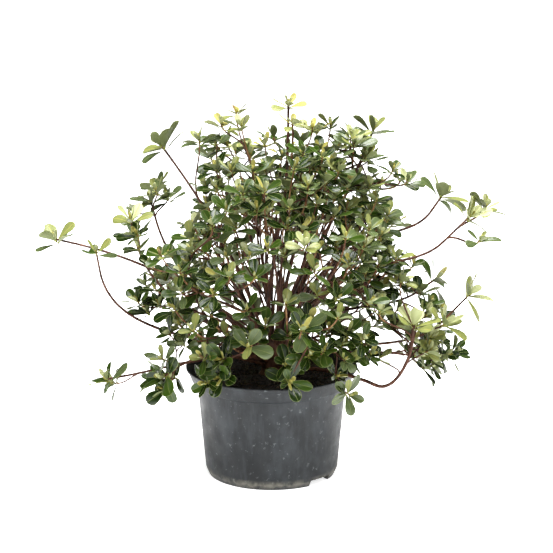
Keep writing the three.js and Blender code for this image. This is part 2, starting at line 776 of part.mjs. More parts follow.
const plant = new THREE.Group();

function addNode(name, solid, material) {
  const mesh = new THREE.Mesh(geometryOf(solid), material);
  mesh.name = name;
  plant.add(mesh);
}

addNode("pot", potSolid(), materials.pot);
addNode("soil", soilSolid(), materials.soil);
addNode("trunk", trunkSolid(0), materials.bark);

const limbs = [...ringLimbs(), ...longShoots.map(shootLimb), curvedLimb()];
weighShoots(limbs);
assignTips(limbs);
const beads = limbBeads(limbs);
const trunkRoom = trunkSolid(CLEARANCE);

limbs.forEach((limb, index) => {
  limb.pieces.forEach((piece, part) => {
    const tube = taperedTube(piece.curve, piece.rootRadius, piece.tipRadius, bough.sides, bough.steps);
    const solid = part === 0 ? solidOf(tube).subtract(trunkRoom) : solidOf(tube);
    const suffix = limb.pieces.length > 1 ? ["_lower", "_upper"][part] : "";
    addNode(`bough_${limb.name}${suffix}`, solid, materials.bark);
  });
  const seed = crownTips.seed + crownTips.seedStep * index;
  addNode(`foliage_${limb.name}`, massSolid(limb, limbs, beads, seed), materials.leaf);
});

export default plant;
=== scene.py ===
"""Potted evergreen azalea: nursery pot, compost, stump, boughs, twigs and leaf sprays.

Sizes are millimetres in the part's own frame (+Z up, origin under the middle of the pot); meshes
are written in metres. The twigs grow on from the limbs by the limbs' own seeded rule.
"""

import logging
import math
from collections.abc import Sequence
from dataclasses import dataclass, field
from enum import Enum

import bmesh
import bpy
import numpy as np
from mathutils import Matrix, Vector, noise


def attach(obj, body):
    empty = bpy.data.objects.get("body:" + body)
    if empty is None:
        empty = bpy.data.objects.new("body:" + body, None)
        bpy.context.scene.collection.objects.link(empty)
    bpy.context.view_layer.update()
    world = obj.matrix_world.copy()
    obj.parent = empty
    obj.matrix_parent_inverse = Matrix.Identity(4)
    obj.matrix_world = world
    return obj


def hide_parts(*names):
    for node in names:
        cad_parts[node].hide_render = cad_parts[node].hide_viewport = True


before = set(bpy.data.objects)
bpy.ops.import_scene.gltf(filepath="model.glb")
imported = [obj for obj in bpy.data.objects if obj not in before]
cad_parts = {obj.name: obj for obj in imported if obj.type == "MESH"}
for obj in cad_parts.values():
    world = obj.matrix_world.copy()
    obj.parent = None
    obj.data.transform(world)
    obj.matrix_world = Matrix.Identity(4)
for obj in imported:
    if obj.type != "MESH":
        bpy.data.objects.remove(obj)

LOG = logging.getLogger("azalea")
MM = 0.001
GOLDEN_ANGLE = 137.508
UP = np.array([0.0, 0.0, 1.0])
NEAR_UPRIGHT = 0.9
SAME_PLACE = 1e-9

Colour = tuple[float, float, float, float]
Triple = tuple[float, float, float]


# ---------------------------------------------------------------- numbers and vectors


class Seeded:
    """Repeatable random numbers between 0 and 1, the same row for the same seed."""

    MASK = 0xFFFFFFFF
    STEP = 0x6D2B79F5
    SPAN = 4294967296

    def __init__(self, seed: int) -> None:
        """Starts the row at the seed."""
        self.state = seed & self.MASK

    def next(self) -> float:
        """Draws the next number of the row.

        Returns:
            The number, from 0 to 1.
        """
        # The shifts and the odd numbers are the ones of the Mulberry 32 generator.
        self.state = (self.state + self.STEP) & self.MASK
        mixed = ((self.state ^ (self.state >> 15)) * (self.state | 1)) & self.MASK
        mixed ^= (mixed + (mixed ^ (mixed >> 7)) * (mixed | 61)) & self.MASK
        return (mixed ^ (mixed >> 14)) / self.SPAN

    def between(self, low: float, high: float) -> float:
        """A number between two others."""
        return low + (high - low) * self.next()

    def whole(self, least: int, most: int) -> int:
        """A whole number from the least to the most."""
        return least + int(self.next() * (most - least + 1))

    def stray(self, half: float) -> float:
        """A number up to half away from 0 to either side."""
        return half * (2 * self.next() - 1)


def polar(azimuth: float, reach: float, height: float) -> np.ndarray:
    """A place by its azimuth in degrees, its distance from the pot's axis and its height."""
    a = math.radians(azimuth)
    return np.array([reach * math.cos(a), reach * math.sin(a), height])


def direction(azimuth: float, elevation: float) -> np.ndarray:
    """The unit vector that looks along an azimuth and an elevation, in degrees."""
    e = math.radians(elevation)
    return polar(azimuth, math.cos(e), math.sin(e))


def unit(vector: np.ndarray) -> np.ndarray:
    """The vector at length 1."""
    return vector / np.linalg.norm(vector)


def across_axes(way: np.ndarray) -> tuple[np.ndarray, np.ndarray]:
    """Finds two unit vectors square to a way and to each other.

    Args:
        way: The way, at length 1.

    Returns:
        The two vectors.
    """
    helper = np.array([1.0, 0.0, 0.0]) if abs(way[2]) > NEAR_UPRIGHT else UP
    first = unit(np.cross(helper, way))
    return first, np.cross(way, first)


def fan_out(way: np.ndarray, turn: float, tilt: float) -> tuple[np.ndarray, np.ndarray]:
    """Leans away from an axis.

    Args:
        way: The axis.
        turn: Angle round the axis, in radians.
        tilt: Angle away from the axis, in radians.

    Returns:
        The leaning unit vector, and the one square to it that looks back to the axis.
    """
    first, second = across_axes(way)
    out = first * math.cos(turn) + second * math.sin(turn)
    return way * math.cos(tilt) + out * math.sin(tilt), way * math.sin(tilt) - out * math.cos(tilt)


@dataclass(frozen=True)
class Curve:
    """A cubic Bézier curve by its four handles."""

    handles: np.ndarray
    MEASURED_PLACES = 33

    def at(self, shares: np.ndarray | float) -> np.ndarray:
        """The places at one share or several.

        Args:
            shares: Shares of the curve, from 0 to 1.

        Returns:
            A place for each share.
        """
        t = np.atleast_1d(shares)[:, None]
        a, b, c, d = self.handles
        return a * (1 - t) ** 3 + 3 * b * t * (1 - t) ** 2 + 3 * c * t**2 * (1 - t) + d * t**3

    def way(self, share: float) -> np.ndarray:
        """The way in which it runs at a share.

        Args:
            share: A share of the curve, from 0 to 1.

        Returns:
            The unit tangent.
        """
        a, b, c, d = self.handles
        t = share
        return unit((b - a) * (1 - t) ** 2 + 2 * (c - b) * t * (1 - t) + (d - c) * t**2)

    def end(self) -> np.ndarray:
        """The place where it ends."""
        return self.at(1.0)[0]

    def length(self) -> float:
        """The curve's length."""
        steps = np.diff(self.at(np.linspace(0, 1, self.MEASURED_PLACES)), axis=0)
        return float(np.linalg.norm(steps, axis=1).sum())


def bent(start: np.ndarray, leave: np.ndarray, end: np.ndarray, arrive: np.ndarray,
         handles: tuple[float, float]) -> Curve:
    """A curve between two places with a way at each.

    Args:
        start: Where it starts.
        leave: The way in which it starts.
        end: Where it ends.
        arrive: The way in which it ends.
        handles: How far it keeps each way, as shares of the span.

    Returns:
        The curve.
    """
    span = float(np.linalg.norm(end - start))
    first, last = start + leave * span * handles[0], end - arrive * span * handles[1]
    return Curve(np.array([start, first, last, end]))


# ---------------------------------------------------------------- finishes


def linear(code: str) -> Colour:
    """Turns an sRGB hex code linear.

    Args:
        code: The code, as # and six digits.

    Returns:
        The linear colour.
    """
    parts = [int(code[i : i + 2], 16) / 255 for i in (1, 3, 5)]
    r, g, b = (p / 12.92 if p <= 0.04045 else ((p + 0.055) / 1.055) ** 2.4 for p in parts)
    return r, g, b, 1.0


def grey(value: float) -> Colour:
    """A linear grey."""
    return value, value, value, 1.0


def add_node(tree: bpy.types.NodeTree, kind: str, settings: dict[str | int, object] | None = None,
             links: dict[str | int, bpy.types.NodeSocket] | None = None) -> bpy.types.Node:
    """Adds a node with its settings and links.

    Args:
        tree: The node tree.
        kind: The node's type, without the ShaderNode before it.
        settings: Values by the name or place of an input, or else by the name of a property.
            The stops of a colour ramp are its places, each with a hex code or a grey's value.
        links: Output sockets by the name or place of the input that they feed.

    Returns:
        The node.
    """
    node = tree.nodes.new(f"ShaderNode{kind}")
    for name, value in (settings or {}).items():
        if name == "stops":
            elements = node.color_ramp.elements
            while len(elements) < len(value):
                elements.new(0.5)
            for element, (place, shade) in zip(elements, value):
                element.position = place
                element.color = linear(shade) if isinstance(shade, str) else grey(shade)
        elif isinstance(name, int) or name in node.inputs:
            node.inputs[name].default_value = value
        else:
            setattr(node, name, value)
    for name, socket in (links or {}).items():
        tree.links.new(socket, node.inputs[name])
    return node


def new_material(name: str) -> tuple[bpy.types.Material, bpy.types.NodeTree]:
    """Makes an empty material.

    Args:
        name: Its name.

    Returns:
        The material and its node tree.
    """
    material = bpy.data.materials.new(name)
    material.use_nodes = True
    material.node_tree.nodes.clear()
    return material, material.node_tree


@dataclass(frozen=True)
class Pattern:
    """A cloudy pattern by its spots' width; a squeeze under 1 draws them out along that axis."""

    spot_mm: float
    detail: float
    squeeze: Triple = (1.0, 1.0, 1.0)
    raggedness: float = 0.6

    def lay(self, tree: bpy.types.NodeTree) -> bpy.types.NodeSocket:
        """Lays the pattern out in the piece's own space.

        Args:
            tree: The node tree.

        Returns:
            The pattern's value.
        """
        place = add_node(tree, "TexCoord").outputs["Object"]
        drawn = add_node(tree, "Mapping", {"Scale": self.squeeze}, {"Vector": place})
        settings = {"Scale": 1 / (self.spot_mm * MM), "Detail": self.detail,
                    "Roughness": self.raggedness}
        cloud = add_node(tree, "TexNoise", settings, {"Vector": drawn.outputs["Vector"]})
        return cloud.outputs["Fac"]


@dataclass(frozen=True)
class Relief:
    """A pattern's height in the surface, and how much of it shows."""

    pattern: Pattern
    depth_mm: float
    strength: float

    def raise_on(self, tree: bpy.types.NodeTree) -> bpy.types.NodeSocket:
        """Raises the pattern in the surface.

        Args:
            tree: The node tree.

        Returns:
            The normal that it gives.
        """
        settings = {"Strength": self.strength, "Distance": self.depth_mm * MM}
        bump = add_node(tree, "Bump", settings, {"Height": self.pattern.lay(tree)})
        return bump.outputs["Normal"]


class Skin(Enum):
    """The skins of leaf and bud, as a plain colour and a roughness each."""

    DEEP = ("#172804", 0.27)
    GREEN = ("#2b3f0a", 0.3)
    # This grey-green's grey-blue cast is partly painted sheen: the reflection of a pale sky laid
    # into the colour.
    GREY = ("#485432", 0.25)
    FRESH = ("#727841", 0.38)
    LIME = ("#9ca173", 0.46)
    HEART = ("#938d47", 0.5)
    TAWNY = ("#786240", 0.55)
    MARGIN = ("#66713c", 0.46)
    RIB = ("#56602f", 0.5)
    STALK = ("#8d9149", 0.5)
    UNDERSIDE = ("#6b7349", 0.55)


SKIN_SLOT = {skin: place for place, skin in enumerate(Skin)}


@dataclass(frozen=True)
class LeafSkin:
    """Living leaf under a film of wax."""

    # The wax gives a plain green its soft grey sheen. The swellings between a leaf's finest veins
    # are under 1 mm wide, and are drawn 2.6 mm wide so that they still break the sheen.
    skin: Skin
    swellings: Relief = Relief(Pattern(2.6, 1.0), 0.25, 0.5)
    ior: float = 1.5
    gloss: float = 0.28

    def make(self) -> bpy.types.Material:
        """Makes the material.

        Returns:
            The material.
        """
        colour, roughness = self.skin.value
        material, tree = new_material(f"azalea_leaf_{self.skin.name.lower()}")
        settings = {"Base Color": linear(colour), "Roughness": roughness, "IOR": self.ior,
                    "Specular IOR Level": self.gloss}
        links = {"Normal": self.swellings.raise_on(tree)}
        shader = add_node(tree, "BsdfPrincipled", settings, links)
        add_node(tree, "OutputMaterial", None, {"Surface": shader.outputs["BSDF"]})
        return material


@dataclass(frozen=True)
class Bark:
    """Thin azalea bark, grown and flaking."""

    # Cork is dull. Where it flakes, paler patches 9 mm wide run along the stem. Its wrinkles are
    # a few tenths of a millimetre wide, and are drawn 1.1 mm wide so that they show.
    name: str
    shades: tuple[str, str, str]
    shade_places: Triple = (0.32, 0.5, 0.72)
    patches: Pattern = Pattern(9.0, 4.0, (1.0, 1.0, 0.45))
    wrinkles: Relief = Relief(Pattern(1.1, 3.0, (1.0, 1.0, 0.3)), 0.4, 0.6)
    roughness: float = 0.62
    gloss: float = 0.25

    def make(self) -> bpy.types.Material:
        """Makes the material.

        Returns:
            The material.
        """
        material, tree = new_material(self.name)
        stops = list(zip(self.shade_places, self.shades))
        colour = add_node(tree, "ValToRGB", {"stops": stops}, {"Fac": self.patches.lay(tree)})
        settings = {"Roughness": self.roughness, "Specular IOR Level": self.gloss}
        links = {"Base Color": colour.outputs["Color"], "Normal": self.wrinkles.raise_on(tree)}
        shader = add_node(tree, "BsdfPrincipled", settings, links)
        add_node(tree, "OutputMaterial", None, {"Surface": shader.outputs["BSDF"]})
        return material


@dataclass(frozen=True)
class PotPlastic:
    """Injection-moulded recycled polypropylene, scuffed, dusty and worn at the heel."""

    # The melt leaves a satin near-black with clouds 34 mm wide. Water and dust run down it in
    # streaks 7 mm wide, knocks leave scuffs 6 mm wide, and the ground wears the heel pale. The
    # mould's graze of a few tenths of a millimetre is drawn 1.6 mm wide so that it shows.
    shades: tuple[str, str, str] = ("#0d1013", "#191c1f", "#33373b")
    shade_places: Triple = (0.3, 0.5, 0.74)
    clouds: Pattern = Pattern(34.0, 5.0, (1.0, 1.0, 0.55))
    dusty: str = "#33373b"
    streaks: Pattern = Pattern(7.0, 4.0, (1.0, 1.0, 0.12))
    streak_stops: tuple[tuple[float, float], ...] = ((0.5, 0.0), (0.75, 0.5))
    scuffed: str = "#5c6062"
    scuffs: Pattern = Pattern(6.0, 6.0)
    scuff_stops: tuple[tuple[float, float], ...] = ((0.62, 0.0), (0.7, 0.75))
    worn: str = "#716e64"
    wear: Pattern = Pattern(12.0, 6.0)
    wear_stops: tuple[tuple[float, float], ...] = ((0.4, 0.1), (0.62, 0.95))
    worn_height: float = 6.0
    worn_reach: float = 7.0
    polish: Pattern = Pattern(17.0, 4.0)
    polish_stops: tuple[tuple[float, float], ...] = ((0.3, 0.42), (0.7, 0.62))
    graze: Relief = Relief(Pattern(1.6, 5.0), 0.18, 0.45)
    ior: float = 1.49
    gloss: float = 0.3

    def heel(self, tree: bpy.types.NodeTree) -> bpy.types.NodeSocket:
        """Finds how near a place is to the worn heel.

        Args:
            tree: The node tree.

        Returns:
            The nearness, from 0 to 1.
        """
        place = add_node(tree, "TexCoord").outputs["Object"]
        axes = add_node(tree, "SeparateXYZ", None, {"Vector": place})
        settings = {"operation": "SUBTRACT", 1: self.worn_height * MM}
        above = add_node(tree, "Math", settings, {0: axes.outputs["Z"]})
        away = add_node(tree, "Math", {"operation": "ABSOLUTE"}, {0: above.outputs["Value"]})
        settings = {"From Min": self.worn_reach * MM, "From Max": 0.0}
        near = add_node(tree, "MapRange", settings, {"Value": away.outputs["Value"]})
        return near.outputs["Result"]

    def make(self) -> bpy.types.Material:
        """Makes the material.

        Returns:
            The material.
        """
        material, tree = new_material("moulded_recycled_polypropylene")
        shades = list(zip(self.shade_places, self.shades))
        looks = [(self.clouds, shades), (self.streaks, self.streak_stops),
                 (self.scuffs, self.scuff_stops), (self.wear, self.wear_stops),
                 (self.polish, self.polish_stops)]
        ramps = [add_node(tree, "ValToRGB", {"stops": stops}, {"Fac": pattern.lay(tree)})
                 for pattern, stops in looks]
        colour, streaks, scuffs, wear, polish = (ramp.outputs["Color"] for ramp in ramps)
        worn = add_node(tree, "Math", {"operation": "MULTIPLY"}, {0: self.heel(tree), 1: wear})
        layers = [(streaks, self.dusty), (scuffs, self.scuffed), (worn.outputs["Value"], self.worn)]
        for amount, over in layers:
            settings = {"data_type": "RGBA", 7: linear(over)}
            colour = add_node(tree, "Mix", settings, {0: amount, 6: colour}).outputs[2]
        settings = {"IOR": self.ior, "Specular IOR Level": self.gloss}
        links = {"Base Color": colour, "Roughness": polish, "Normal": self.graze.raise_on(tree)}
        shader = add_node(tree, "BsdfPrincipled", settings, links)
        add_node(tree, "OutputMaterial", None, {"Surface": shader.outputs["BSDF"]})
        return material


@dataclass(frozen=True)
class Compost:
    """Moist milled peat, sieved."""

    # Wet peat swallows the light: almost black and quite rough, in crumbs 4 mm wide.
    name: str
    shades: tuple[str, str, str]
    shade_places: Triple = (0.35, 0.55, 0.78)
    crumbs: Pattern = Pattern(4.0, 6.0)
    crumble: Relief = Relief(Pattern(2.0, 5.0), 1.0, 0.9)
    roughness: float = 0.95

    def make(self) -> bpy.types.Material:
        """Makes the material.

        Returns:
            The material.
        """
        material, tree = new_material(self.name)
        stops = list(zip(self.shade_places, self.shades))
        colour = add_node(tree, "ValToRGB", {"stops": stops}, {"Fac": self.crumbs.lay(tree)})
        links = {"Base Color": colour.outputs["Color"], "Normal": self.crumble.raise_on(tree)}
        shader = add_node(tree, "BsdfPrincipled", {"Roughness": self.roughness}, links)
        add_node(tree, "OutputMaterial", None, {"Surface": shader.outputs["BSDF"]})
        return material


@dataclass(frozen=True)
class Acrylic:
    """Matt white acrylic of a table lit from below."""

    # The light from below keeps it white, so that it hardly takes a shadow.
    shades: tuple[str, str] = ("#fafafa", "#fdfdfc")
    shade_places: tuple[float, float] = (0.3, 0.7)
    clouds: Pattern = Pattern(400.0, 2.0)
    roughness: float = 0.9
    glow: float = 0.82

    def make(self) -> bpy.types.Material:
        """Makes the material.

        Returns:
            The material.
        """
        material, tree = new_material("backlit_white_acrylic")
        stops = list(zip(self.shade_places, self.shades))
        colour = add_node(tree, "ValToRGB", {"stops": stops}, {"Fac": self.clouds.lay(tree)})
        settings = {"Roughness": self.roughness, "Emission Color": linear(self.shades[0]),
                    "Emission Strength": self.glow}
        shader = add_node(tree, "BsdfPrincipled", settings, {"Base Color": colour.outputs["Color"]})
        add_node(tree, "OutputMaterial", None, {"Surface": shader.outputs["BSDF"]})
        return material


# ---------------------------------------------------------------- joined meshes


def ringed_faces(rings: int, sides: int) -> list[list[int]]:
    """The faces of a closed body of rings of points, with a foot and a head point after them.

    Args:
        rings: How many rings.
        sides: Points in each ring.

    Returns:
        A band of faces between each two rings, then by turns a face at the foot and at the head.
    """
    faces = []
    for i in range(rings - 1):
        for j in range(sides):
            k = (j + 1) % sides
            low, high = i * sides, (i + 1) * sides
            faces.append([low + j, low + k, high + k, high + j])
    foot, head, last = rings * sides, rings * sides + 1, (rings - 1) * sides
    for j in range(sides):
        k = (j + 1) % sides
        faces += [[foot, k, j], [head, last + j, last + k]]
    return faces


class Pile:
    """Points and faces gathered for one joined mesh."""

    def __init__(self) -> None:
        """Starts empty."""
        self.points: list[np.ndarray] = []
        self.faces: list[list[int]] = []
        self.slots: list[int] = []
        self.creases: list[np.ndarray] = []
        self.count = 0

    def add(self, points: np.ndarray, faces: Sequence[Sequence[int]], slots: Sequence[int],
            creased: np.ndarray | None = None) -> None:
        """Adds a closed body.

        Args:
            points: Its corners in millimetres.
            faces: Its faces, by corner.
            slots: Each face's material slot.
            creased: For each corner, a number above 0 on lines where the shading breaks.
        """
        start = self.count
        self.points.append(points)
        self.faces += [[start + i for i in face] for face in faces]
        self.slots += list(slots)
        self.creases.append(np.zeros(len(points), int) if creased is None else creased)
        self.count += len(points)

    def add_rings(self, rings: Sequence[np.ndarray], ends: Sequence[Sequence[float]]) -> None:
        """Adds a closed body of rings of points, with its foot and head points."""
        faces = ringed_faces(len(rings), len(rings[0]))
        self.add(np.concatenate([*rings, ends]), faces, [0] * len(faces))

    def add_tube(self, path: np.ndarray, radii: np.ndarray, slots: Sequence[int]) -> None:
        """Adds a closed tube.

        Args:
            path: Points along its axis.
            radii: For each point, the radius at each angle.
            slots: The material slot of each stretch between two points.
        """
        rings, sides = radii.shape
        ways = np.gradient(path, axis=0)
        ways /= np.linalg.norm(ways, axis=1)[:, None]
        first, _ = across_axes(ways[0])
        turns = np.arange(sides) * 2 * math.pi / sides
        points = np.empty((rings, sides, 3))
        for i, way in enumerate(ways):
            first = unit(first - way * first.dot(way))
            second = np.cross(way, first)
            spokes = np.outer(np.cos(turns), first) + np.outer(np.sin(turns), second)
            points[i] = path[i] + spokes * radii[i][:, None]
        face_slots = [slot for slot in slots for _ in range(sides)] + [slots[0], slots[-1]] * sides
        corners = np.concatenate([points.reshape(-1, 3), path[:1], path[-1:]])
        self.add(corners, ringed_faces(rings, sides), face_slots)

    def build(self, name: str, materials: Sequence[bpy.types.Material]) -> bpy.types.Object:
        """Makes the mesh object.

        Args:
            name: The piece's name.
            materials: The materials by slot.

        Returns:
            The object, in metres.
        """
        mesh = bpy.data.meshes.new(name)
        mesh.from_pydata(np.concatenate(self.points) * MM, [], self.faces)
        mesh.polygons.foreach_set("material_index", self.slots)
        mesh.polygons.foreach_set("use_smooth", [True] * len(self.faces))
        for material in materials:
            mesh.materials.append(material)
        crease = np.concatenate(self.creases)
        if crease.any():
            ends = np.empty(len(mesh.edges) * 2, int)
            mesh.edges.foreach_get("vertices", ends)
            pair = crease[ends.reshape(-1, 2)]
            sharp = mesh.attributes.new("sharp_edge", "BOOLEAN", "EDGE")
            sharp.data.foreach_set("value", (pair[:, 0] > 0) & (pair[:, 0] == pair[:, 1]))
        mesh.update()
        return linked(name, mesh)


def linked(name: str, mesh: bpy.types.Mesh) -> bpy.types.Object:
    """Puts a mesh into the scene.

    Args:
        name: The object's name.
        mesh: The mesh.

    Returns:
        Its object.
    """
    piece = bpy.data.objects.new(name, mesh)
    bpy.context.scene.collection.objects.link(piece)
    return piece


def ride(piece: bpy.types.Object, nodes: Sequence[str]) -> None:
    """Seats a piece on the frame.

    Args:
        piece: The piece.
        nodes: The solids that it stands for.
    """
    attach(piece, "root")
    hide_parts(*nodes)
    count = len(piece.data.polygons)
    LOG.info("%s: %d faces, stands for %d solids", piece.name, count, len(nodes))


# ---------------------------------------------------------------- pot and compost


@dataclass
class Pot:
    """Low round nursery pot with a flared lip, a bevelled heel and two drainage notches."""

    height: float = 135.0
    rim_radius: float = 105.0
    lip_foot_radius: float = 97.0
    lip_height: float = 19.0
    ledge_drop: float = 2.5
    shoulder_radius: float = 91.0
    heel_radius: float = 81.0
    heel_height: float = 8.0
    base_radius: float = 77.5
    wall: float = 2.2
    floor: float = 2.6
    bead: float = 0.9
    # Small steps of the section, each as how far in or out and how far up or down.
    hollow_rise: float = 0.8
    foot_ring: tuple[float, float] = (6.0, 4.5)
    heel_round: tuple[float, float] = (0.9, 2.2)
    lip_edge: Triple = (0.4, 0.5, 1.6)
    bead_foot: tuple[float, float] = (1.6, 3.4)
    bead_side: tuple[float, float] = (0.2, 2.8)
    notch_count: int = 2
    notch_azimuth: float = -41.0
    notch_width: float = 35.0
    notch_height: float = 7.5
    notch_depth: float = 19.0
    sides: int = 144
    edge: float = 0.7
    edge_steps: int = 2
    edge_turn: float = 50.0
    smooth_turn: float = 38.0

    def lip_foot(self) -> float:
        """The height of the lip's lower edge."""
        return self.height - self.lip_height

    def outer_radius(self, height: float) -> float:
        """The wall's outer radius at a height.

        Args:
            height: The height.

        Returns:
            The radius, or 0 above the rim.
        """
        ledge = self.lip_foot() - self.ledge_drop
        heights = [0.0, self.heel_height, ledge, self.lip_foot(), self.height]
        radii = [self.base_radius, self.heel_radius, self.shoulder_radius, self.lip_foot_radius,
                 self.rim_radius]
        return float(np.interp(height, heights, radii, right=0.0))

    def profile(self) -> list[tuple[float, float]]:
        """Lays out the wall's section, from the foot's middle round to the floor's.

        Returns:
            Its corners, as radius and height.
        """
        base, heel, rim, wall = self.base_radius, self.heel_radius, self.rim_radius, self.wall
        foot, lip, top = self.lip_foot_radius, self.lip_foot(), self.height
        ledge = lip - self.ledge_drop
        return [
            (0.0, self.hollow_rise), (base - self.foot_ring[0], self.hollow_rise),
            (base - self.foot_ring[1], 0.0), (base, 0.0),
            (heel - self.heel_round[0], self.heel_height - self.heel_round[1]),
            (heel, self.heel_height), (self.shoulder_radius, ledge),
            (foot - self.lip_edge[0], lip), (foot + self.lip_edge[1], lip + self.lip_edge[2]),
            (rim - self.bead_foot[0], top - self.bead_foot[1]),
            (rim - self.bead_side[0], top - self.bead_side[1]),
            (rim, top - self.bead), (rim - wall / 2, top), (rim - wall, top - self.bead),
            (foot - wall, lip + wall), (self.shoulder_radius - wall, ledge + wall),
            (heel - wall, self.heel_height), (base - wall, self.floor), (0.0, self.floor),
        ]

    def wall_body(self) -> bpy.types.Object:
        """Turns the wall's section round the pot's axis.

        Returns:
            The pot without its notches.
        """
        turns = np.arange(self.sides) * 2 * math.pi / self.sides
        profile = self.profile()
        rings = [np.stack([r * np.cos(turns), r * np.sin(turns), np.full(self.sides, z)], 1)
                 for r, z in profile[1:-1]]
        pile = Pile()
        pile.add_rings(rings, [[0.0, 0.0, profile[0][1]], [0.0, 0.0, profile[-1][1]]])
        return pile.build("nursery_pot", [])

    def notch_box(self, azimuth: float) -> bpy.types.Object:
        """Makes a box that cuts a notch.

        Args:
            azimuth: Where the notch lies, in degrees.

        Returns:
            The box.
        """
        body = bmesh.new()
        bmesh.ops.create_cube(body, size=1.0)
        turn = math.radians(azimuth)
        for corner in body.verts:
            x, y, z = corner.co
            spot = Vector((self.heel_radius + x * (2 * self.notch_depth), y * self.notch_width,
                           z * 2 * self.notch_height))
            corner.co = Vector((spot.x * math.cos(turn) - spot.y * math.sin(turn),
                                spot.x * math.sin(turn) + spot.y * math.cos(turn), spot.z)) * MM
        mesh = bpy.data.meshes.new("notch")
        body.to_mesh(mesh)
        body.free()
        return linked("notch", mesh)

    def build(self) -> None:
        """Turns the wall, cuts the notches, rounds the edges and dresses the pot."""
        piece = self.wall_body()
        step = 360 / self.notch_count
        boxes = [self.notch_box(self.notch_azimuth + step * i) for i in range(self.notch_count)]
        for box in boxes:
            cut = piece.modifiers.new("notch", "BOOLEAN")
            cut.object, cut.operation, cut.solver = box, "DIFFERENCE", "EXACT"
        rounded = piece.modifiers.new("edges", "BEVEL")
        rounded.width, rounded.segments = self.edge * MM, self.edge_steps
        rounded.limit_method, rounded.angle_limit = "ANGLE", math.radians(self.edge_turn)
        graph = bpy.context.evaluated_depsgraph_get()
        mesh = bpy.data.meshes.new_from_object(piece.evaluated_get(graph))
        piece.modifiers.clear()
        piece.data = mesh
        for box in boxes:
            bpy.data.objects.remove(box)
        mesh.polygons.foreach_set("use_smooth", [True] * len(mesh.polygons))
        mesh.set_sharp_from_angle(angle=math.radians(self.smooth_turn))
        mesh.materials.clear()
        mesh.materials.append(PotPlastic().make())
        ride(piece, ["pot"])


